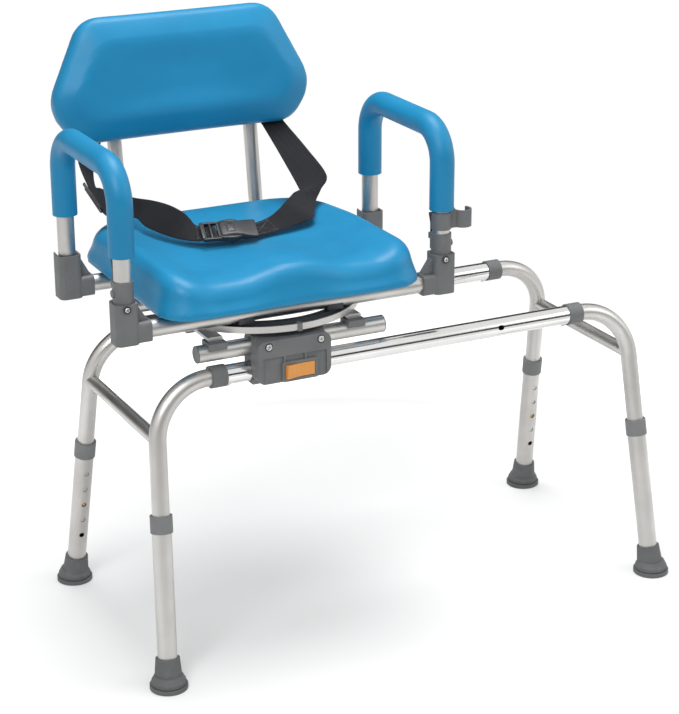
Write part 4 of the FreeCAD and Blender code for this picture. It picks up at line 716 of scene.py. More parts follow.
class GeometryTree(NodeSheet):
    """A geometry node group with named inputs, which is baked onto a piece."""

    def __init__(self, name: str, inputs: Sequence[tuple[str, str, Any]]) -> None:
        """Makes the group and its sockets.

        Args:
            name: The group's name.
            inputs: Each input's name, socket type and value.
        """
        group = bpy.data.node_groups.new(name, "GeometryNodeTree")
        super().__init__(group)
        group.interface.new_socket("Geometry", in_out="INPUT", socket_type="NodeSocketGeometry")
        self.given: dict[str, Any] = {}
        self.keys: dict[str, str] = {}
        for label, kind, value in inputs:
            socket = group.interface.new_socket(label, in_out="INPUT", socket_type=kind)
            self.keys[label] = socket.identifier
            self.given[label] = value
        group.interface.new_socket("Geometry", in_out="OUTPUT", socket_type="NodeSocketGeometry")
        self.source = self.add("NodeGroupInput")
        self.group = group

    def read(self, label: str) -> bpy.types.NodeSocket:
        """Gives the socket of a named input."""
        return self.source.outputs[label]

    def close(self, geometry: bpy.types.NodeSocket, material: bpy.types.Material) -> None:
        """Ends the tree with real geometry in one material.

        Args:
            geometry: What the tree made.
            material: The material to set.
        """
        real = self.add("GeometryNodeRealizeInstances", {0: geometry})
        smooth = self.add("GeometryNodeSetShadeSmooth", {0: real.outputs[0]})
        dressed = self.add("GeometryNodeSetMaterial", {0: smooth.outputs[0], "Material": material})
        self.add("NodeGroupOutput", {0: dressed.outputs[0]})

    def bake(self, piece: bpy.types.Object, smooth_angle: float | None = None) -> bpy.types.Object:
        """Runs the tree on a piece and keeps the result as its mesh.

        Args:
            piece: The object whose mesh feeds the tree.
            smooth_angle: Edges over this angle in radians stay sharp.

        Returns:
            The piece.
        """
        modifier = piece.modifiers.new(self.group.name, "NODES")
        modifier.node_group = self.group
        for label, value in self.given.items():
            modifier[self.keys[label]] = value
        apply_modifiers(piece)
        if smooth_angle is not None:
            piece.data.set_sharp_from_angle(angle=smooth_angle)
        return piece


def marker_cloud(name: str, places: Iterable[tuple[Vector, Vector]]) -> bpy.types.Object:
    """Makes loose points that carry the way each copy faces.

    Args:
        name: The object's name.
        places: Each point and its outward direction.

    Returns:
        The object with a facing attribute.
    """
    rows = list(places)
    data = bpy.data.meshes.new(name)
    data.from_pydata([tuple(place) for place, _ in rows], [], [])
    facing = data.attributes.new("facing", "FLOAT_VECTOR", "POINT")
    for item, (_, direction) in zip(facing.data, rows):
        item.vector = direction.normalized()
    return link_object(name, data)


def scatter(cloud: bpy.types.Object, part: bpy.types.Object, material: bpy.types.Material,
            size: float, seed: int) -> bpy.types.Object:
    """Copies a small part onto every marker, each turned a little about its axis.

    Args:
        cloud: The markers.
        part: The part to copy, which is removed afterwards.
        material: The copies' material.
        size: Scale of the copies.
        seed: Seed of the turns.

    Returns:
        The markers' object, which now holds the copies.
    """
    tree = GeometryTree(cloud.name + "_copies", [
        ("Part", "NodeSocketObject", part),
        ("Size", "NodeSocketFloat", size),
        ("Turn Seed", "NodeSocketInt", seed),
    ])
    points = tree.add("GeometryNodeMeshToPoints", {0: tree.source.outputs[0]})
    facing = tree.add("GeometryNodeInputNamedAttribute", {0: "facing"}, data_type="FLOAT_VECTOR")
    aligned = tree.add("FunctionNodeAlignRotationToVector", {"Vector": facing.outputs[0]}, axis="Z")
    turn = tree.add("FunctionNodeRandomValue", {2: 0.0, 3: math.pi, "Seed": tree.read("Turn Seed")},
                    data_type="FLOAT")
    spin = tree.add("FunctionNodeAxisAngleToRotation", {"Axis": (0.0, 0.0, 1.0), "Angle": turn.outputs[1]})
    turned = tree.add("FunctionNodeRotateRotation", {0: aligned.outputs[0], 1: spin.outputs[0]},
                      rotation_space="LOCAL")
    info = tree.add("GeometryNodeObjectInfo", {0: tree.read("Part")})
    copies = tree.add("GeometryNodeInstanceOnPoints",
                      {"Points": points.outputs[0], "Instance": info.outputs["Geometry"],
                       "Rotation": turned.outputs[0], "Scale": tree.read("Size")})
    tree.close(copies.outputs[0], material)
    tree.bake(cloud, math.radians(35))
    bpy.data.objects.remove(part)
    return cloud


# Padding

@dataclass
class FoamForm:
    """How a padded piece swells in simulation.

    Args:
        voxel: Size of the remeshed faces in metres.
        pressure: Cloth pressure.
        cap: How far a point may move in metres.
        frames: Steps of the simulation.
        evening: How often the movement is averaged over neighbours.
        stretch: Stiffness against stretching and squeezing.
        bending: Stiffness against bending.
    """

    voxel: float = 0.005
    pressure: float = 4.0
    cap: float = 0.002
    frames: int = 20
    evening: int = 40
    stretch: float = 40.0
    bending: float = 6.0

    def swell(self, piece: bpy.types.Object) -> bpy.types.Object:
        """Remeshes the form, lets it swell as a filled cover, and smooths the result.

        Args:
            piece: The closed form.

        Returns:
            The piece with the swollen mesh.
        """
        remesh = piece.modifiers.new("even_faces", "REMESH")
        remesh.mode = "VOXEL"
        remesh.voxel_size = self.voxel
        apply_modifiers(piece)
        self._simulate(piece)
        finer = piece.modifiers.new("finer", "SUBSURF")
        finer.levels = 1
        finer.render_levels = 1
        apply_modifiers(piece)
        for face in piece.data.polygons:
            face.use_smooth = True
        return piece

    def _simulate(self, piece: bpy.types.Object) -> None:
        """Runs the cloth with pressure and settles the skin where it swelled to."""
        scene = bpy.context.scene
        start = self._places(piece)
        cloth = piece.modifiers.new("cover", "CLOTH")
        cloth.settings.use_pressure = True
        cloth.settings.uniform_pressure_force = self.pressure
        cloth.settings.effector_weights.gravity = 0.0
        cloth.settings.tension_stiffness = self.stretch
        cloth.settings.compression_stiffness = self.stretch
        cloth.settings.bending_stiffness = self.bending
        cloth.point_cache.frame_start = 1
        cloth.point_cache.frame_end = self.frames
        for step in range(1, self.frames + 1):
            scene.frame_set(step)
        apply_modifiers(piece)
        self._settle(piece, start)
        scene.frame_set(1)

    def _places(self, piece: bpy.types.Object) -> numpy.ndarray:
        """Gives the places of the mesh's points, one row each."""
        places = numpy.empty(len(piece.data.vertices) * 3)
        piece.data.vertices.foreach_get("co", places)
        return places.reshape(-1, 3)

    def _settle(self, piece: bpy.types.Object, start: numpy.ndarray) -> None:
        """Evens the movement out, since moulded foam has no wrinkles, and caps it."""
        mesh = piece.data
        moved = self._places(piece) - start
        edges = numpy.empty(len(mesh.edges) * 2, dtype=int)
        mesh.edges.foreach_get("vertices", edges)
        first, second = edges.reshape(-1, 2).T
        shares = numpy.bincount(edges, minlength=len(start))[:, None] + 1
        for _ in range(self.evening):
            total = moved.copy()
            numpy.add.at(total, first, moved[second])
            numpy.add.at(total, second, moved[first])
            moved = total / shares
        lengths = numpy.linalg.norm(moved, axis=1, keepdims=True)
        moved *= self.cap / numpy.maximum(lengths, self.cap)
        mesh.vertices.foreach_set("co", (start + moved).ravel())
        mesh.update()


@dataclass
class SeatCushion:
    """The moulded seat with two thigh hollows, a raised middle and a bowl behind them.

    Lengths are millimetres from the swivel's axis and the base's middle.
    """

    half_width: float = 206.0
    front: float = 166.0
    back: float = 227.0
    bottom: float = 533.5
    crest: float = 595.5
    front_corner: float = 48.0
    back_corner: float = 80.0
    edge_radius: float = 22.0
    lean: float = 9.0
    foot_height: float = 5.0
    back_fall: float = 12.0
    front_fall: float = 6.0
    side_fall: float = 6.0
    rear_fill: float = 0.55
    outline_points: int = 220
    inner_rings: int = 26
    corner_steps: int = 24
    arc_steps: int = 9
    under_shares: tuple[float, ...] = (0.06, 0.3, 0.55, 0.75, 0.88)
    wall_shares: tuple[float, ...] = (0.3, 0.6, 0.85)
    hollow: tuple[tuple[float, float], ...] = ((0.0, 17.0), (0.16, 19.0), (0.45, 16.0), (0.8, 11.0),
                                               (1.0, 4.0))
    middle_rise: tuple[tuple[float, float], ...] = ((0.0, 15.0), (0.2, 14.0), (0.42, 4.0), (0.62, 0.0))
    form: FoamForm = field(default_factory=lambda: FoamForm(voxel=0.0052))

    def outline(self) -> list[tuple[float, float]]:
        """Gives the plan outline with its four rounded corners."""
        corners = [(-self.half_width, -self.front), (-self.half_width, self.back),
                   (self.half_width, self.back), (self.half_width, -self.front)]
        radii = [self.front_corner, self.back_corner, self.back_corner, self.front_corner]
        return even_outline(rounded_polygon(corners, radii, self.corner_steps), self.outline_points)

    def top_height(self, across: float, depth: float) -> float:
        """Gives the height of the sitting surface.

        Args:
            across: Distance from the middle.
            depth: Distance behind the base's middle.

        Returns:
            The height in millimetres.
        """
        side = abs(across) / self.half_width
        length = (depth + self.front) / (self.front + self.back)
        wall = 1.0 - smooth_step(side, 0.60, 0.93)
        pommel = 1.0 - smooth_step(side, 0.03, 0.44)
        rear_rise = smooth_step(length, 0.74, 1.0)
        sunk = table_value(self.hollow, length) * wall * (1.0 - self.rear_fill * rear_rise)
        raised = table_value(self.middle_rise, length) * pommel
        back_drop = self.back_fall * smooth_step(length, 0.45, 1.0)
        front_drop = self.front_fall * (1.0 - smooth_step(length, 0.0, 0.16))
        side_drop = self.side_fall * smooth_step(side, 0.72, 1.0)
        return self.crest - sunk + raised - back_drop - front_drop - side_drop

    def wall_height(self, across: float, depth: float, share: float) -> float:
        """Gives the height of a share of the side wall, from its foot to the start of the top's edge."""
        foot = self.bottom + self.foot_height
        return foot + (self.top_height(across, depth) - self.edge_radius - foot) * share

    def rings(self) -> list[list[Vector]]:
        """Gives the rings of the closed form from the middle of the underside to the top's middle."""
        outline = self.outline()
        rings = []
        for share in self.under_shares:
            rings.append([Vector((x * share, y * share, self.bottom)) for x, y in outline])
        for inset, rise in ((7.0, 0.0), (1.2, 1.2), (0.0, self.foot_height)):
            rings.append(self._inset_ring(outline, inset, lambda x, y, r=rise: self.bottom + r))
        for share in self.wall_shares:
            rings.append(self._inset_ring(outline, self.lean * share,
                                          lambda x, y, s=share: self.wall_height(x, y, s)))
        for step in range(1, self.arc_steps + 1):
            angle = math.pi / 2 * step / self.arc_steps
            inset = self.lean + self.edge_radius * (1 - math.cos(angle))
            sink = self.edge_radius * (1 - math.sin(angle))
            rings.append(self._inset_ring(outline, inset, lambda x, y, s=sink: self.top_height(x, y) - s))
        for step in range(1, self.inner_rings):
            share = 1.0 - step / self.inner_rings
            rings.append(self._inset_ring(outline, self.lean + self.edge_radius, self.top_height, share))
        return rings

    def _inset_ring(self, outline: Sequence[tuple[float, float]], inset: float,
                    height: Callable[[float, float], float], share: float = 1.0) -> list[Vector]:
        """Draws the outline inward and gives each point its height."""
        scale_x = (self.half_width - inset) / self.half_width * share
        middle = (self.back - self.front) / 2
        half_depth = (self.back + self.front) / 2
        scale_y = (half_depth - inset) / half_depth * share
        ring = []
        for x, y in outline:
            across = x * scale_x
            depth = middle + (y - middle) * scale_y
            ring.append(Vector((across, depth, height(across, depth))))
        return ring

    def build(self, layout: Layout, book: FinishBook) -> bpy.types.Object:
        """Builds, swells and places the cushion.

        Args:
            layout: The frame's places.
            book: The finishes.

        Returns:
            The finished piece.
        """
        build = bmesh.new()
        skin_rings(build, [[layout.at(*point) for point in ring] for ring in self.rings()])
        piece = self.form.swell(mesh_object("seat_cushion_foam", build))
        book.dress(piece, "foam")
        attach(piece, Body.SEAT.value)
        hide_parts("seat_cushion")
        return piece


@dataclass
class BackrestCushion:
    """The moulded backrest, wide below and narrow above, dished a little in front.

    Lengths are millimetres; heights run along the recline from the pad's foot. The profile's rows
    are the inset from the outline and the height as a share of the half thickness, back to front.
    """

    foot_height: float = 692.5
    foot_depth: float = 240.0
    offset: float = -4.0
    recline: float = 9.3
    height: float = 190.0
    half_thickness: float = 26.0
    top_half: float = 156.0
    wide_half: float = 221.0
    wide_height: float = 58.0
    bottom_half: float = 180.0
    corners: tuple[float, float, float] = (46.0, 56.0, 50.0)
    slope: float = 44.0
    dish: float = 3.0
    outline_points: int = 200
    inner_rings: int = 22
    corner_steps: int = 18
    back_inset: float = 20.0
    back_shares: tuple[float, ...] = (0.08, 0.4, 0.7)
    middle_share: float = 0.46
    profile: tuple[tuple[float, float], ...] = (
        (20.0, -1.0), (11.0, -1.0), (5.0, -0.86), (1.2, -0.55), (0.0, 0.0), (0.9, 0.21), (3.0, 0.39),
        (7.0, 0.51), (14.0, 0.64), (22.0, 0.77), (29.0, 0.88), (34.0, 0.95), (39.0, 0.985), (44.0, 1.0),
    )
    form: FoamForm = field(default_factory=FoamForm)

    def outline(self) -> list[tuple[float, float]]:
        """Gives the outline in the pad's own plane."""
        corners = [(-self.top_half, self.height), (-self.wide_half, self.wide_height),
                   (-self.bottom_half, 0.0), (self.bottom_half, 0.0),
                   (self.wide_half, self.wide_height), (self.top_half, self.height)]
        radii = list(self.corners) + list(self.corners[::-1])
        return even_outline(rounded_polygon(corners[::-1], radii, self.corner_steps), self.outline_points)

    def place(self, layout: Layout, across: float, up: float, forward: float) -> Vector:
        """Turns a place in the pad's plane into the frame.

        Args:
            layout: The frame's places.
            across: Distance from the middle.
            up: Distance up the pad.
            forward: Distance towards the sitter.

        Returns:
            The place in metres.
        """
        lean = math.radians(self.recline)
        depth = self.foot_depth + up * math.sin(lean) - forward * math.cos(lean)
        height = self.foot_height + up * math.cos(lean) + forward * math.sin(lean)
        return layout.at(self.offset + across, depth, height)

    def build(self, layout: Layout, book: FinishBook) -> bpy.types.Object:
        """Builds, swells and places the backrest cushion.

        Args:
            layout: The frame's places.
            book: The finishes.

        Returns:
            The finished piece.
        """
        outline = self.outline()
        half = self.half_thickness
        profile = [(inset, share * half) for inset, share in self.profile]
        middle = self.height * self.middle_share
        rings = []
        for share in self.back_shares:
            rings.append(self._ring(layout, outline, middle, self.back_inset, -half, share))
        for inset, forward in profile:
            rings.append(self._ring(layout, outline, middle, inset, forward, 1.0))
        for step in range(1, self.inner_rings):
            share = 1.0 - step / self.inner_rings
            sunk = self.dish * smooth_step(1.0 - share, 0.0, 0.75)
            rings.append(self._ring(layout, outline, middle, self.slope, half - sunk, share))
        build = bmesh.new()
        skin_rings(build, rings)
        piece = self.form.swell(mesh_object("backrest_cushion_foam", build))
        book.dress(piece, "foam")
        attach(piece, Body.SEAT.value)
        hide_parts("backrest_cushion")
        return piece

    def _ring(self, layout: Layout, outline: Sequence[tuple[float, float]], middle: float, inset: float,
              forward: float, share: float) -> list[Vector]:
        """Gives one ring of the outline, drawn inward and scaled about the pad's middle."""
        scale_x = (self.wide_half - inset) / self.wide_half * share
        scale_y = (self.height / 2 - inset) / (self.height / 2) * share
        centre = middle if share < 1.0 else self.height / 2
        return [self.place(layout, x * scale_x, centre + (y - centre) * scale_y, forward)
                for x, y in outline]


# Lap belt

@dataclass
class Strap:
    """One half of the lap belt, drawn as its two edges from the backrest to the buckle.

    Args:
        name: The piece's name.
        node: The frame node that it stands for.
        rows: Lower and upper edge of the webbing at each bend, in the layout's millimetres.
        thickness: The webbing's thickness.
        across_steps: Strips across the width.
        along_steps: Rows of faces between two bends.
        rolled_share: The rolled edge's width as a share of the thickness.
    """

    name: str
    node: str
    rows: tuple[tuple[Place, Place], ...]
    thickness: float = 1.8
    across_steps: int = 10
    along_steps: int = 9
    rolled_share: float = 0.4

    def surface(self, layout: Layout) -> list[list[Vector]]:
        """Gives the middle surface as rows of points from edge to edge.

        Args:
            layout: The frame's places.

        Returns:
            Rows of points.
        """
        low = curve_points([layout.at(*row[0]) for row in self.rows], self.along_steps)
        high = curve_points([layout.at(*row[1]) for row in self.rows], self.along_steps)
        count = self.across_steps
        return [[a.lerp(b, step / count) for step in range(count + 1)] for a, b in zip(low, high)]

    def build(self, layout: Layout, book: FinishBook) -> bpy.types.Object:
        """Builds the webbing with its thickness, woven UV map and rounded edges.

        Args:
            layout: The frame's places.
            book: The finishes.

        Returns:
            The finished strap.
        """
        surface = self.surface(layout)
        build = bmesh.new()
        weave = build.loops.layers.uv.new("weave")
        walked = [0.0]
        middle = self.across_steps // 2
        for before, after in zip(surface, surface[1:]):
            walked.append(walked[-1] + (after[middle] - before[middle]).length)
        rows = [[build.verts.new(point) for point in row] for row in surface]
        for i in range(len(rows) - 1):
            for j in range(self.across_steps):
                face = build.faces.new((rows[i][j], rows[i][j + 1], rows[i + 1][j + 1], rows[i + 1][j]))
                for loop, (along, across) in zip(face.loops, ((i, j), (i, j + 1), (i + 1, j + 1),
                                                              (i + 1, j))):
                    width = (surface[along][-1] - surface[along][0]).length
                    loop[weave].uv = (walked[along], width * across / self.across_steps)
        piece = mesh_object(self.name, build)
        thicken = piece.modifiers.new("thickness", "SOLIDIFY")
        thicken.thickness = self.thickness * MILLIMETRE
        thicken.offset = 0.0
        round_edges(piece, self.thickness * self.rolled_share, 3, 50)
        book.dress(piece, "webbing")
        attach(piece, Body.SEAT.value)
        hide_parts(self.node)
        return piece


@dataclass(frozen=True)
class Axes:
    """A small piece's own axes: along, across and outward, about a middle."""

    middle: Vector
    along: Vector
    across: Vector

    def place(self, x: float, y: float, z: float) -> Vector:
        """Turns millimetres along, across and outward into a place in the frame."""
        outward = self.along.cross(self.across).normalized()
        square = outward.cross(self.along).normalized()
        return self.middle + (self.along * x + square * y + outward * z) * MILLIMETRE

    def ring(self, outline: Sequence[tuple[float, float]], height: float) -> list[Vector]:
        """Places a flat outline at one height over the piece's middle."""
        return [self.place(x, y, height) for x, y in outline]


def plate_frame(build: bmesh.types.BMesh, axes: Axes, outer: Sequence[tuple[float, float]],
                inner: Sequence[tuple[float, float]], low: float, high: float) -> None:
    """Adds a flat frame around a window.

    Args:
        build: The mesh to add to.
        axes: The piece's axes.
        outer: The outer outline.
        inner: The window's outline, with as many points.
        low: Height of the under face.
        high: Height of the upper face.
    """
    loops = [axes.ring(outer, low), axes.ring(outer, high), axes.ring(inner, high), axes.ring(inner, low)]
    made = [[build.verts.new(point) for point in loop] for loop in loops]
    count = len(outer)
    for index, loop in enumerate(made):
        after = made[(index + 1) % len(made)]
        for step in range(count):
            nearby = (step + 1) % count
            build.faces.new((loop[step], loop[nearby], after[nearby], after[step]))


def cross_bar(build: bmesh.types.BMesh, axes: Axes, section: Sequence[tuple[float, float]],
              ends: Sequence[float], lift: float = 0.0) -> None:
    """Adds a bar across a piece, from its section along and outward."""
    skin_rings(build, [[axes.place(x, y, z + lift) for x, z in section] for y in ends])


def rounded_rectangle(x0: float, x1: float, y0: float, y1: float, radius: float,
                      steps: int = 5) -> list[tuple[float, float]]:
    """Gives a rectangle's outline with rounded corners."""
    corners = [(x0, y0), (x1, y0), (x1, y1), (x0, y1)]
    return rounded_polygon(corners, [radius] * 4, steps)


def round_edges(piece: bpy.types.Object, width: float, segments: int, corner: float) -> None:
    """Bakes a rounding of width millimetres onto edges that turn by more than corner degrees."""
    rounding = piece.modifiers.new("rounding", "BEVEL")
    rounding.width = width * MILLIMETRE
    rounding.segments = segments
    rounding.limit_method = "ANGLE"
    rounding.angle_limit = math.radians(corner)
    apply_modifiers(piece)


def soften(piece: bpy.types.Object, width: float, segments: int = 3) -> bpy.types.Object:
    """Rounds a piece's edges.

    Args:
        piece: The piece.
        width: The rounding's width in millimetres.
        segments: Faces across the rounding.

    Returns:
        The piece with a plain mesh.
    """
    round_edges(piece, width, segments, 40)
    piece.data.set_sharp_from_angle(angle=math.radians(50))
    return piece


@dataclass
class Buckle:
    """The side-release buckle: a socket shell, and a plug whose frame takes the adjustable strap.

    Lengths are millimetres about the buckle's middle, along the belt, across it and outward.
    """

    middle: Place = (-38.0, 6.0, 603.0)
    left_end: Place = (-80.0, 17.0, 601.5)
    right_end: Place = (2.0, -4.0, 602.5)
    across: Place = (5.0, 38.0, 13.0)
    half_length: float = 41.0
    half_width: float = 21.0
    socket_start: float = -13.0
    window: tuple[float, float] = (-35.0, -17.0)

    def axes(self, layout: Layout) -> Axes:
        """Gives the buckle's axes in the frame."""
        along = (layout.at(*self.right_end) - layout.at(*self.left_end)).normalized()
        return Axes(layout.at(*self.middle), along, Vector(self.across).normalized())

    def build(self, layout: Layout, book: FinishBook) -> list[bpy.types.Object]:
        """Builds the socket and the plug.

        Args:
            layout: The frame's places.
            book: The finishes.

        Returns:
            The buckle's pieces.
        """
        axes = self.axes(layout)
        pieces = [self._socket(axes), self._plug(axes), self._prongs(axes)]
        for piece in pieces:
            book.dress(piece, "black_plastic")
            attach(piece, Body.SEAT.value)
        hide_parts("belt_buckle")
        return pieces

    def _socket(self, axes: Axes) -> bpy.types.Object:
        """Builds the socket: a shell that is full at its mouth and thins towards its strap bar."""
        sections = ((self.socket_start, 17.5, 6.0), (-10.0, 19.0, 6.6), (0.0, 18.4, 6.8), (10.0, 17.4, 6.5),
                    (19.0, 18.4, 5.6), (28.0, 20.4, 4.0), (36.0, 21.0, 3.0), (self.half_length, 20.6, 2.6))
        rings = []
        for along, half_width, half_height in sections:
            outline = rounded_rectangle(-half_width, half_width, -half_height, half_height,
                                        min(half_height * 0.75, 4.0), 6)
            rings.append([axes.place(along, y, z) for y, z in outline])
        build = bmesh.new()
        skin_rings(build, rings)
        ridge = rounded_rectangle(-4.0, 9.0, -11.0, 11.0, 3.0)
        raised = rounded_rectangle(-2.8, 7.8, -9.8, 9.8, 2.4)
        skin_rings(build, [axes.ring(ridge, 5.6), axes.ring(ridge, 7.1), axes.ring(raised, 7.5)])
        return soften(mesh_object("belt_buckle_socket", build), 0.7)

    def _plug(self, axes: Axes) -> bpy.types.Object:
        """Builds the plug's ladder frame with its strap bar."""
        build = bmesh.new()
        start, end = self.window
        outer = rounded_rectangle(-self.half_length, self.socket_start + 2.0, -self.half_width,
                                  self.half_width, 3.5)
        inner = rounded_rectangle(start, end, -self.half_width + 3.4, self.half_width - 3.4, 1.2)
        plate_frame(build, axes, outer, inner, -2.6, 2.6)
        bar = rounded_rectangle(-28.2, -24.6, -1.6, 1.6, 1.2)
        cross_bar(build, axes, bar, (-self.half_width + 3.0, self.half_width - 3.0), 0.6)
        lip = rounded_rectangle(-self.half_length - 0.6, -self.half_length + 4.6, 0.4, 3.8, 1.2)
        cross_bar(build, axes, lip, (-self.half_width + 2.0, self.half_width - 2.0))
        return soften(mesh_object("belt_buckle_plug", build), 0.5)

    def _prongs(self, axes: Axes) -> bpy.types.Object:
        """Builds the two side latches that show in the socket's windows."""
        build = bmesh.new()
        for side in (-1, 1):
            rows = ((-16.0, 17.0, 2.0, 3.6), (-9.0, 18.6, 2.6, 4.2), (0.0, 20.2, 3.0, 4.6),
                    (8.0, 20.6, 3.0, 4.6), (14.0, 18.8, 2.4, 3.8), (18.0, 16.2, 1.8, 2.8))
            rings = []
            for along, across, half_width, half_height in rows:
                outline = rounded_rectangle(-half_width, half_width, -half_height, half_height, 1.4)
                rings.append([axes.place(along, side * across + y, z) for y, z in outline])
            skin_rings(build, rings)
            for step in range(4):
                along = 1.0 + step * 2.6
                rib = rounded_rectangle(along, along + 1.3, -3.4, 3.4, 0.4, 3)
                cross_bar(build, axes, rib, (side * 22.6, side * 23.5))
        return soften(mesh_object("belt_buckle_latches", build), 0.4, 2)


@dataclass
class Adjuster:
    """The ladder slider on the left strap, with two slots and a ribbed edge.

    Places are millimetres in the layout's terms.
    """

    low_end: Place = (-171.0, 158.0, 606.0)
    high_end: Place = (-190.0, 199.0, 651.0)
    lie: Place = (-0.86, 0.12, -0.42)
    half_length: float = 11.5
    half_width: float = 24.5
    slots: tuple[tuple[float, float], ...] = ((-8.4, -2.2), (2.2, 8.4))
    lift: float = 2.4

    def build(self, layout: Layout, book: FinishBook) -> bpy.types.Object:
        """Builds and places the slider.

        Args:
            layout: The frame's places.
            book: The finishes.

        Returns:
            The finished piece.
        """
        low, high = layout.at(*self.low_end), layout.at(*self.high_end)
        across = (high - low).normalized()
        outward = Vector(self.lie).normalized()
        along = across.cross(outward).normalized()
        axes = Axes((low + high) / 2 + outward * self.lift * MILLIMETRE, along, across)
        build = bmesh.new()
        half = self.half_width
        for start, end in self.slots:
            outer = rounded_rectangle(start - 3.1, end + 3.1, -half, half, 2.4)
            inner = rounded_rectangle(start, end, -half + 3.2, half - 3.2, 1.0)
            plate_frame(build, axes, outer, inner, -1.7, 1.7)
        for edge in (-self.half_length, self.half_length):
            lip = rounded_rectangle(edge - 1.3, edge + 1.3, 0.2, 3.0, 1.0)
            cross_bar(build, axes, lip, (-half + 2.0, half - 2.0))
        piece = soften(mesh_object("belt_adjuster_slider", build), 0.4)
        book.dress(piece, "black_plastic")
        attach(piece, Body.SEAT.value)
        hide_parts("belt_adjuster")
        return piece


@dataclass
class Stitching:
    """Sewn thread along paths on the webbing.

    Args:
        length: Length of one stitch in metres.
        gap: Gap between stitches in metres.
        thread: The thread's radius in metres.
        sides: Faces round one stitch.
    """

    length: float = 0.0030
    gap: float = 0.0008
    thread: float = 0.00042
    sides: int = 8

    def build(self, name: str, paths: Sequence[Sequence[Vector]], book: FinishBook) -> bpy.types.Object:
        """Sews stitches along open paths.

        Args:
            name: The piece's name.
            paths: Points of each path, on the webbing's face.
            book: The finishes.

        Returns:
            The finished stitches.
        """
        points: list[tuple[float, ...]] = []
        edges: list[tuple[int, int]] = []
        for path in paths:
            first = len(points)
            points.extend(tuple(point) for point in path)
            edges.extend((first + step, first + step + 1) for step in range(len(path) - 1))
        data = bpy.data.meshes.new(name)
        data.from_pydata(points, edges, [])
        piece = link_object(name, data)
        tree = GeometryTree(name + "_sewing", [
            ("Stitch Pitch", "NodeSocketFloat", self.length + self.gap),
            ("Stitch Length", "NodeSocketFloat", self.length),
            ("Thread Radius", "NodeSocketFloat", self.thread),
        ])
        seam = tree.add("GeometryNodeMeshToCurve", {0: tree.source.outputs[0]})
        spaced = tree.add("GeometryNodeResampleCurve", {"Curve": seam.outputs[0],
                                                        "Length": tree.read("Stitch Pitch")}, mode="LENGTH")
        heading = tree.add("GeometryNodeInputTangent")
        aligned = tree.add("FunctionNodeAlignRotationToVector", {"Vector": heading.outputs[0]}, axis="Z")
        knot = tree.add("GeometryNodeMeshCylinder",
                        {"Vertices": self.sides, "Side Segments": 1,
                         "Radius": tree.read("Thread Radius"), "Depth": tree.read("Stitch Length")})
        copies = tree.add("GeometryNodeInstanceOnPoints",
                          {"Points": spaced.outputs[0], "Instance": knot.outputs[0],
                           "Rotation": aligned.outputs[0]})
        tree.close(copies.outputs[0], book.get("thread"))
        tree.bake(piece)
        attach(piece, Body.SEAT.value)
        LOG.info("%s is sewn along %d paths", name, len(paths))
        return piece


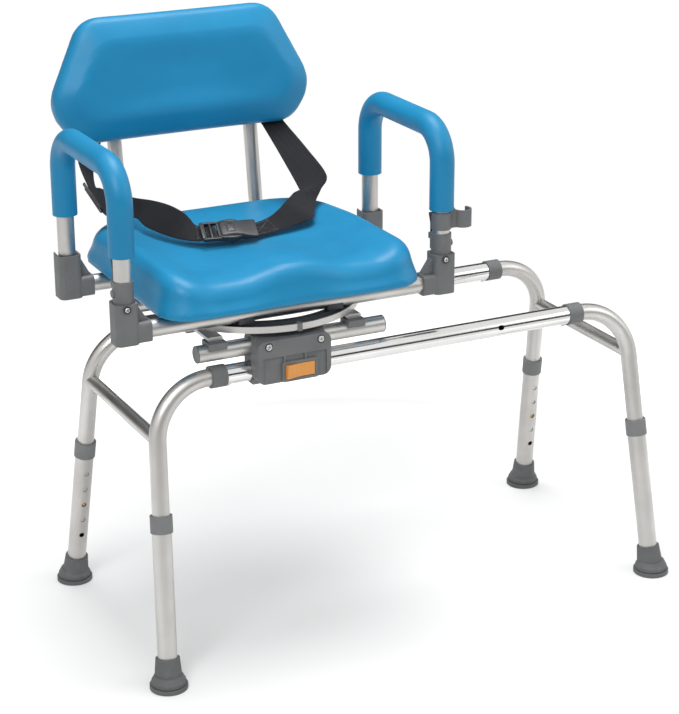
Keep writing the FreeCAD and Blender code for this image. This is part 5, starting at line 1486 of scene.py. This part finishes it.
@dataclass
class LapBelt:
    """The lap belt as it lies on the seat: two straps, a buckle and a slider.

    Each row holds the webbing's outer, then lower, edge and its inner, then upper, edge.
    """

    right_rows: tuple[tuple[Place, Place], ...] = (
        ((161, 276.5, 738), (124, 276.5, 738)),
        ((162, 271, 705), (125, 271, 705)),
        ((164, 240, 690), (127, 240, 687)),
        ((177, 190, 659), (130, 182, 652)),
        ((189, 143, 625), (134, 128, 614)),
        ((168, 120, 610), (121, 106, 617)),
        ((151, 102, 600), (107, 90, 620)),
        ((131, 68, 595), (89, 67, 621)),
        ((112, 34, 594), (73, 51, 619)),
        ((81, 21, 592), (59, 40, 614)),
        ((49, 9, 591), (36, 30, 606)),
        ((22, -1, 591), (12, 24, 603)),
        ((-4, -10, 593), (-8, 22, 605)),
    )
    left_rows: tuple[tuple[Place, Place], ...] = (
        ((-161, 276.5, 738), (-124, 276.5, 738)),
        ((-164, 271, 705), (-127, 271, 703)),
        ((-185, 234, 682), (-158, 237, 661)),
        ((-189, 196, 655), (-166, 215, 635)),
        ((-174, 160, 607), (-160, 207, 632)),
        ((-150, 154, 600), (-140, 195, 625)),
        ((-127, 150, 596), (-119, 177, 620)),
        ((-127, 112, 593), (-108, 126, 627)),
        ((-120, 76, 592), (-98, 86, 629)),
        ((-112, 54, 591), (-88, 62, 624)),
        ((-102, 32, 591), (-82, 50, 617)),
        ((-88, 12, 592), (-76, 43, 607)),
        ((-72, 2, 594), (-66, 34, 605)),
        ((-56, -5, 595.5), (-52, 27, 606.5)),
    )
    box_rows: tuple[float, float] = (2.0, 16.0)
    box_edge: float = 0.12
    box_steps: int = 14

    def build(self, layout: Layout, book: FinishBook) -> list[bpy.types.Object]:
        """Builds the straps, their sewn boxes, the buckle and the slider.

        Args:
            layout: The frame's places.
            book: The finishes.

        Returns:
            The belt's pieces.
        """
        pieces = []
        for side, rows in (("right", self.right_rows), ("left", self.left_rows)):
            strap = Strap(f"belt_webbing_{side}", f"belt_{side}", rows)
            pieces.append(strap.build(layout, book))
            pieces.append(self._sew(strap, layout, book, side))
        pieces.extend(Buckle().build(layout, book))
        pieces.append(Adjuster().build(layout, book))
        return pieces

    def _sew(self, strap: Strap, layout: Layout, book: FinishBook, side: str) -> bpy.types.Object:
        """Sews a crossed box through the webbing near the buckle."""
        surface = strap.surface(layout)
        last = len(surface) - 1
        lift = strap.thickness * MILLIMETRE * 0.5 + Stitching.thread * 0.4

        def on_face(row: float, share: float) -> Vector:
            """Gives a place on the webbing's outer face."""
            low = min(int(row), last - 1)
            part = row - low
            here = surface[low][0].lerp(surface[low + 1][0], part)
            there = surface[low][-1].lerp(surface[low + 1][-1], part)
            run = surface[low + 1][0] - surface[low][0]
            normal = run.cross(there - here).normalized()
            if normal.z < 0:
                normal.negate()
            return here.lerp(there, share) + normal * lift

        steps = self.box_steps
        start, end = (last - row for row in self.box_rows)
        edges = (self.box_edge, 1.0 - self.box_edge)
        rows = [start + (end - start) * step / steps for step in range(steps + 1)]
        paths = [[on_face(row, edge) for row in rows] for edge in edges]
        shares = [edges[0] + (edges[1] - edges[0]) * step / steps for step in range(steps + 1)]
        paths += [[on_face(start, share) for share in shares], [on_face(end, share) for share in shares]]
        paths += [[on_face(row, share) for row, share in zip(rows, shares)],
                  [on_face(row, share) for row, share in zip(rows, shares[::-1])]]
        return Stitching().build(f"belt_stitches_{side}", paths, book)


# Grips

@dataclass
class ArmGrip:
    """The foam sleeve bent over one armrest, swept along the tube with rounded ends.

    Lengths are metres.
    """

    tube_bend: float = 0.050
    end_round: float = 0.0035
    ring_points: int = 44
    bend_points: int = 28
    ring_step: float = 0.0012

    def build(self, side: str, body: Body, book: FinishBook) -> bpy.types.Object:
        """Sweeps the foam along the armrest's line.

        Args:
            side: left or right.
            body: The armrest's body.
            book: The finishes.

        Returns:
            The finished grip.
        """
        low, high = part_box(f"armrest_grip_{side}")
        radius = (high.x - low.x) / 2
        x = (low.x + high.x) / 2
        top = high.z - radius
        ends = (low.y + radius, high.y - radius)
        line = [(x, ends[0], low.z), (x, ends[0], top), (x, ends[1], top), (x, ends[1], low.z)]
        data = bpy.data.meshes.new(f"arm_grip_foam_{side}")
        data.from_pydata(line, [(0, 1), (1, 2), (2, 3)], [])
        piece = link_object(data.name, data)
        self._tree(data.name, radius, book).bake(piece, math.radians(60))
        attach(piece, body.value)
        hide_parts(f"armrest_grip_{side}")
        LOG.info("%s is swept along the armrest", piece.name)
        return piece

    def _tree(self, name: str, radius: float, book: FinishBook) -> GeometryTree:
        """Builds the sweep: a rounded path, a radius that closes in at both ends, and the skin."""
        tree = GeometryTree(name + "_sweep", [
            ("Foam Radius", "NodeSocketFloat", radius),
            ("Bend Radius", "NodeSocketFloat", self.tube_bend),
            ("End Round", "NodeSocketFloat", self.end_round),
            ("Ring Points", "NodeSocketInt", self.ring_points),
        ])
        line = tree.add("GeometryNodeMeshToCurve", {0: tree.source.outputs[0]})
        bent = tree.add("GeometryNodeFilletCurve",
                        {"Curve": line.outputs[0], "Count": self.bend_points,
                         "Radius": tree.read("Bend Radius")}, mode="POLY")
        even = tree.add("GeometryNodeResampleCurve",
                        {"Curve": bent.outputs[0], "Length": self.ring_step}, mode="LENGTH")
        parameter = tree.add("GeometryNodeSplineParameter")
        whole = tree.add("GeometryNodeSplineLength")
        rest = tree.math("SUBTRACT", whole.outputs[0], parameter.outputs[1])
        nearest = tree.math("MINIMUM", parameter.outputs[1], rest)
        share = tree.math("DIVIDE", nearest, tree.read("End Round"))
        share = tree.math("MINIMUM", share, 1.0)
        flat = tree.math("SUBTRACT", 1.0, share)
        arc = tree.math("SQRT", tree.math("SUBTRACT", 1.0, tree.math("MULTIPLY", flat, flat)))
        cut = tree.math("MULTIPLY", tree.math("SUBTRACT", 1.0, arc), tree.read("End Round"))
        scale = tree.math("SUBTRACT", 1.0, tree.math("DIVIDE", cut, tree.read("Foam Radius")))
        sized = tree.add("GeometryNodeSetCurveRadius", {"Curve": even.outputs[0], "Radius": scale})
        circle = tree.add("GeometryNodeCurvePrimitiveCircle", {"Resolution": tree.read("Ring Points"),
                                                               "Radius": tree.read("Foam Radius")})
        skin = tree.add("GeometryNodeCurveToMesh", {"Curve": sized.outputs[0],
                                                    "Profile Curve": circle.outputs[0],
                                                    "Fill Caps": True})
        tree.close(skin.outputs[0], book.get("foam"))
        return tree


# Fasteners

@dataclass(frozen=True)
class SolidBox:
    """One solid of a frame node, by its lowest and highest corners."""

    low: Vector
    high: Vector

    @property
    def middle(self) -> Vector:
        """The box's middle."""
        return (self.low + self.high) / 2

    @property
    def size(self) -> Vector:
        """The box's sides."""
        return self.high - self.low


def solid_boxes(node: str) -> list[SolidBox]:
    """Finds the separate solids of a frame node.

    Args:
        node: The node's name.

    Returns:
        The box of each solid, from left to right.
    """
    build = bmesh.new()
    build.from_mesh(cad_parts[node].data)
    bmesh.ops.remove_doubles(build, verts=build.verts[:], dist=WELD)
    seen: set[int] = set()
    boxes = []
    build.verts.index_update()
    for seed in build.verts:
        if seed.index in seen:
            continue
        stack = [seed]
        seen.add(seed.index)
        places = []
        while stack:
            vert = stack.pop()
            places.append(vert.co.copy())
            for edge in vert.link_edges:
                other = edge.other_vert(vert)
                if other.index not in seen:
                    seen.add(other.index)
                    stack.append(other)
        low = Vector([min(place[axis] for place in places) for axis in range(3)])
        high = Vector([max(place[axis] for place in places) for axis in range(3)])
        boxes.append(SolidBox(low, high))
    build.free()
    return sorted(boxes, key=lambda item: (round(item.low.x, 4), item.low.y, item.low.z))


def lathe(name: str, rows: Sequence[tuple[float, float]], count: int, sharp: float,
          sink: Callable[[float, float, float], float] | None = None) -> bpy.types.Object:
    """Turns a profile about its upright axis into a capped solid.

    Args:
        name: The object's name.
        rows: Radius and height of each ring in millimetres.
        count: Points on each ring.
        sharp: Edges over this angle in degrees stay sharp.
        sink: Gives how far a point at a height is pressed down; None presses nothing.

    Returns:
        The lathed object.
    """
    rings = []
    for radius, height in rows:
        ring = []
        for step in range(count):
            angle = math.tau * step / count
            x, y = radius * math.cos(angle), radius * math.sin(angle)
            ring.append(Vector((x, y, height - (sink(x, y, height) if sink else 0.0))) * MILLIMETRE)
        rings.append(ring)
    build = bmesh.new()
    skin_rings(build, rings)
    return mesh_object(name, build, math.radians(sharp))


@dataclass
class ScrewHead:
    """A pan-head screw with a cross recess, drawn about its own axis in millimetres.

    Args:
        radius: The head's radius.
        height: The head's height.
        recess: Half length of the cross.
        slot: Half width of the cross's arms.
        depth: Depth of the cross at its middle.
        shank: The shank's radius.
        length: The shank's length.
    """

    radius: float = 4.0
    height: float = 1.9
    recess: float = 2.9
    slot: float = 0.8
    depth: float = 1.7
    shank: float = 1.9
    length: float = 9.0

    def build(self, name: str) -> bpy.types.Object:
        """Lathes the head and presses the cross recess into it."""
        rows = [(self.shank, -self.length), (self.shank, 0.2), (self.radius, 0.3),
                (self.radius, self.height * 0.5), (self.radius * 0.93, self.height * 0.75),
                (self.radius * 0.78, self.height * 0.93), (self.radius * 0.64, self.height)]
        rows += [(self.radius * share, self.height) for share in (0.5, 0.4, 0.3, 0.2, 0.1)]
        return lathe(name, rows, 48, 35, self._cross)

    def _cross(self, x: float, y: float, height: float) -> float:
        """Gives the recess's depth at a place on the head."""
        long_way, short_way = max(abs(x), abs(y)), min(abs(x), abs(y))
        inside = height >= self.height and long_way < self.recess and short_way < self.slot
        return self.depth * (1.0 - 0.4 * long_way / self.recess) if inside else 0.0


@dataclass
class ShadeRing:
    """A dark ring under a screw's head that paints the shade round the head, drawn about its own axis in
    millimetres.
    """

    radius: float = 4.5
    height: float = 0.35
    bed: float = 0.2

    def build(self, name: str) -> bpy.types.Object:
        """Lathes the ring with a rounded rim."""
        rows = [(self.radius, -self.bed), (self.radius, self.height * 0.6),
                (self.radius - self.height * 0.4, self.height), (self.radius * 0.5, self.height)]
        return lathe(name, rows, 48, 40)


@dataclass
class RivetHead:
    """A domed rivet, drawn about its own axis in millimetres."""

    radius: float = 3.4
    height: float = 1.3
    length: float = 2.0

    def build(self, name: str) -> bpy.types.Object:
        """Lathes the dome on its short shank."""
        rows = [(self.radius, -self.length), (self.radius, 0.0)]
        rows += [(self.radius * math.cos(angle), self.height * math.sin(angle))
                 for angle in (0.25, 0.5, 0.8, 1.1, 1.4)]
        return lathe(name, rows, 32, 40)


class Fasteners:
    """The visible screws, pins and rivets, each where the frame's own solid sits."""

    FRONT = Vector((0.0, -1.0, 0.0))
    SCREW_SEED = 7
    PIN_LIMIT = 0.030
    POST_LEAN = math.radians(8.1)
    SUNK = 0.5
    HEAD_SINK = 1.6
    PIN_SINK = 0.0004

    def build(self, layout: Layout, book: FinishBook) -> list[bpy.types.Object]:
        """Builds the block's screws, the brackets' screws and the pivot pins.

        Args:
            layout: The frame's places.
            book: The finishes.

        Returns:
            The fasteners, one piece for each kind.
        """
        return self._block_screws(layout, book) + self._seat_fasteners(layout, book)

    def _block_screws(self, layout: Layout, book: FinishBook) -> list[bpy.types.Object]:
        """Sets the screws of both slider blocks, each facing away from the base's middle."""
        markers = []
        for solid in solid_boxes("block_screws"):
            front = solid.middle.y < layout.depth
            direction = self.FRONT if front else -self.FRONT
            face = solid.low.y if front else solid.high.y
            markers.append((Vector((solid.middle.x, face, solid.middle.z)), direction))
        pieces = self._screws("block_screw", markers, ScrewHead(radius=4.7, recess=3.3), 6.3, book)
        for piece in pieces:
            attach(piece, Body.CARRIAGE.value)
        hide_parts("block_screws")
        return pieces

    def _seat_fasteners(self, layout: Layout, book: FinishBook) -> list[bpy.types.Object]:
        """Sets the brackets' screws, the pivot pins and the backrest's screws."""
        brackets, pins, backrest = [], [], []
        for solid in solid_boxes("seat_fasteners"):
            if solid.size.x > self.PIN_LIMIT:
                for side, face in ((-1, solid.low.x), (1, solid.high.x)):
                    direction = Vector((side, 0.0, 0.0))
                    pins.append((Vector((face, solid.middle.y, solid.middle.z)) - direction * self.PIN_SINK,
                                 direction))
            elif solid.middle.y < layout.depth:
                brackets.append((Vector((solid.middle.x, solid.low.y, solid.middle.z)), self.FRONT))
            else:
                direction = Vector((0.0, math.cos(self.POST_LEAN), -math.sin(self.POST_LEAN)))
                seat = Vector((solid.middle.x, solid.high.y, solid.middle.z))
                backrest.append((seat - direction * self.HEAD_SINK * MILLIMETRE, direction))
        pieces = self._screws("bracket_screw", brackets, ScrewHead(radius=3.6, recess=2.7), 5.6, book)
        pieces.append(self._scatter("arm_pivot_pins", pins, RivetHead(length=15.0), book, "steel"))
        pieces.append(self._scatter("backrest_screw_heads", backrest, ScrewHead(), book, "steel"))
        for piece in pieces:
            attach(piece, Body.SEAT.value)
        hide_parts("seat_fasteners")
        return pieces

    def _screws(self, name: str, faces: Sequence[tuple[Vector, Vector]], head: ScrewHead,
                shade_ring_radius: float, book: FinishBook) -> list[bpy.types.Object]:
        """Sets a head over each of the frame's sunk screws, on a dark ring that paints the shade round the
        head.
        """
        markers = [(face + direction * self.SUNK * MILLIMETRE, direction) for face, direction in faces]
        # Painted shade: a black ring under each head darkens the seat round it.
        return [self._scatter(name + "_heads", markers, head, book, "steel"),
                self._scatter(name + "_washers", markers, ShadeRing(radius=shade_ring_radius), book,
                              "black_plastic")]

    def _scatter(self, name: str, markers: Iterable[tuple[Vector, Vector]],
                 part: ScrewHead | ShadeRing | RivetHead, book: FinishBook, finish: str) -> bpy.types.Object:
        """Copies one part onto each marker in one finish."""
        rows = list(markers)
        cloud = marker_cloud(name, rows)
        scatter(cloud, part.build(name + "_part"), book.get(finish), 1.0, self.SCREW_SEED)
        LOG.info("%s holds %d copies", name, len(rows))
        return cloud


# Finishes of the frame's own nodes

def at_corners(stem: str) -> tuple[str, ...]:
    """Names the four pieces of a kind, one at each corner."""
    return tuple(f"{stem}_{corner}" for corner in CORNERS)


NODE_FINISHES = {
    "matte_tube": ("frame_tubes_left", "frame_tubes_right", "cross_braces", "carriage_tubes", "cross_bars",
                   "seat_tubes", "seat_cross_tubes", "back_posts", "armrest_tube_left",
                   "armrest_tube_right", *at_corners("leg_extension"), "swivel_base_ring"),
    "bright_tube": ("rail_front", "rail_back"),
    "steel": ("button_springs", "slide_lock_pin", *at_corners("rail_button")),
    "brass": at_corners("leg_button"),
    "grey_plastic": ("rail_collars", "carriage_end_caps", "saddles", "slider_block_front",
                     "slider_block_back", "arm_brackets_front", "arm_brackets_back", "ring_clips",
                     "armrest_sleeve_left", "armrest_sleeve_right", "accessory_clip"),
    "pale_plastic": at_corners("leg_collar"),
    "dark_plastic": ("swivel_turn_ring", "arm_lever_left", "arm_lever_right"),
    "orange_plastic": ("slide_lock_rocker",),
    "rubber": at_corners("foot"),
}


def dress_frame(book: FinishBook) -> None:
    """Gives every kept frame node its finish.

    Args:
        book: The finishes.
    """
    for finish, nodes in NODE_FINISHES.items():
        for node in nodes:
            book.dress(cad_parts[node], finish)


# Stage, light and camera

@dataclass
class Studio:
    """The pale floor, the soft lights and the camera at the photograph's angle.

    Lengths are metres and angles degrees.
    """

    camera_offset: Place = (-1.3925, -2.6995, 1.4951)
    yaw: float = -26.581
    elevation: float = 20.304
    roll: float = -0.17
    focal_pixels: float = 2104.33
    image_height: float = 714.0
    sensor: float = 36.0
    floor_size: float = 60.0
    pale: float = 0.80
    glow: float = 0.15
    fade: tuple[float, float] = (0.7, 1.4)
    fade_lead: float = 3.0
    world_light: float = 0.42
    flag_tone: float = 0.10
    flag_reach: float = 7.0
    flags: tuple[tuple[str, float, float, float], ...] = (
        ("front_flag", -5.0, 0.45, 2.4),
        ("back_flag", 4.0, 0.3, 5.5),
    )
    lamps: tuple[tuple[str, Place, float, float], ...] = (
        ("key_lamp", (-2.2, -2.2, 3.4), 2.2, 78.0),
        ("fill_lamp", (3.0, -2.0, 2.2), 2.6, 26.0),
        ("top_lamp", (0.1, 0.3, 3.2), 1.6, 62.0),
    )

    lamp_aim: Place = (0.0, 0.0, 0.45)

    def build(self, layout: Layout) -> None:
        """Sets the floor, the lamps, the world and the camera.

        Args:
            layout: The frame's places.
        """
        self._floor()
        self._flags()
        for name, place, size, power in self.lamps:
            self._lamp(name, Vector(place) + Vector((0.0, layout.depth, 0.0)), size, power)
        self._world()
        self._camera(layout)
        bpy.context.scene.view_settings.view_transform = "Standard"

    def _camera(self, layout: Layout) -> None:
        """Sets the camera from its fitted place and turn."""
        yaw, lift, roll = (math.radians(value) for value in (self.yaw, self.elevation, self.roll))
        back = Vector((math.sin(yaw) * math.cos(lift), -math.cos(yaw) * math.cos(lift), math.sin(lift)))
        level = Vector((math.cos(yaw), math.sin(yaw), 0.0))
        upright = back.cross(level)
        right = level * math.cos(roll) + upright * math.sin(roll)
        up = upright * math.cos(roll) - level * math.sin(roll)
        data = bpy.data.cameras.new("photo_camera")
        data.sensor_width = self.sensor
        data.lens = self.focal_pixels * self.sensor / self.image_height
        camera = link_object("photo_camera", data)
        turn = Matrix((right, up, back)).transposed().to_4x4()
        place = Vector(self.camera_offset) + Vector((0.0, layout.depth, 0.0))
        camera.matrix_world = Matrix.Translation(place) @ turn
        bpy.context.scene.camera = camera

    def _lamp(self, name: str, place: Vector, size: float, power: float) -> None:
        """Hangs one soft lamp that faces the seat."""
        data = bpy.data.lights.new(name, "AREA")
        data.shape = "DISK"
        data.size = size
        data.energy = power
        lamp = link_object(name, data)
        aim = Vector(self.lamp_aim) - place
        lamp.rotation_euler = aim.to_track_quat("-Z", "Y").to_euler()
        lamp.location = place

    def _floor(self) -> None:
        """Lays the floor, pale to the camera and soft under the object."""
        half = self.floor_size / 2
        build = bmesh.new()
        corners = ((-half, -half), (half, -half), (half, half), (-half, half))
        build.faces.new([build.verts.new((x, y, 0.0)) for x, y in corners])
        floor = mesh_object("studio_floor", build)
        shader = Shader("studio_floor")
        shader.set(Roughness=0.9, Specular_IOR_Level=0.1, Emission_Color=(1.0, 1.0, 1.0, 1.0))
        path = shader.add("ShaderNodeLightPath")
        seen = shader.math("MAXIMUM", path.outputs["Is Camera Ray"],
                           shader.math("MAXIMUM", path.outputs["Is Glossy Ray"],
                                       path.outputs["Is Transmission Ray"]))
        reach = shader.add("ShaderNodeVectorMath", {0: shader.object_place}, operation="LENGTH")
        faded = shader.spread(reach.outputs["Value"], 0.0, 1.0, *self.fade)
        far = shader.math("MULTIPLY", seen, faded)
        shader.tree.links.new(shader.blend(far, (self.pale,) * 3, (0.0, 0.0, 0.0)),
                              shader.surface.inputs["Base Color"])
        near = shader.math("MULTIPLY", seen, self.glow)
        led = shader.math("MINIMUM", shader.math("MULTIPLY", far, self.fade_lead), 1.0)
        glow = shader.math("MAXIMUM", led, near)
        shader.tree.links.new(glow, shader.surface.inputs["Emission Strength"])
        floor.data.materials.append(shader.material)

    def _flags(self) -> None:
        """Stands dark flags in front and behind, which only the reflections see."""
        for name, depth, low, high in self.flags:
            build = bmesh.new()
            build.faces.new([build.verts.new((x, depth, z)) for x, z in
                             ((-self.flag_reach, low), (self.flag_reach, low),
                              (self.flag_reach, high), (-self.flag_reach, high))])
            flag = mesh_object(name, build)
            shader = Shader(name)
            shader.set(Base_Color=(self.flag_tone,) * 3 + (1.0,), Roughness=0.9, Specular_IOR_Level=0.0)
            flag.data.materials.append(shader.material)
            flag.visible_camera = False
            flag.visible_diffuse = False
            flag.visible_transmission = False
            flag.visible_shadow = False

    def _world(self) -> None:
        """Sets an even light that is white to the camera and in reflections."""
        world = bpy.data.worlds.new("studio_world")
        bpy.context.scene.world = world
        world.use_nodes = True
        sheet = NodeSheet(world.node_tree)
        path = sheet.add("ShaderNodeLightPath")
        mirrored = sheet.math("MAXIMUM", path.outputs["Is Glossy Ray"], path.outputs["Is Transmission Ray"])
        seen = sheet.math("MAXIMUM", path.outputs["Is Camera Ray"], mirrored)
        plain = sheet.math("MULTIPLY", sheet.math("SUBTRACT", 1.0, seen), self.world_light)
        strength = sheet.math("ADD", seen, plain)
        shade = sheet.add("ShaderNodeBackground", {"Color": (1.0, 1.0, 1.0, 1.0), "Strength": strength})
        sheet.add("ShaderNodeOutputWorld", {"Surface": shade.outputs[0]})


def main() -> None:
    """Builds the chair's dressed pieces in order and sets the stage."""
    logging.basicConfig(level=logging.INFO, format="%(message)s")
    layout = Layout.read()
    book = FinishBook()
    Studio().build(layout)
    dress_frame(book)
    SeatCushion().build(layout, book)
    BackrestCushion().build(layout, book)
    LapBelt().build(layout, book)
    for side, body in (("left", Body.ARM_LEFT), ("right", Body.ARM_RIGHT)):
        ArmGrip().build(side, body, book)
    Fasteners().build(layout, book)


if __name__ == "__main__":
    main()
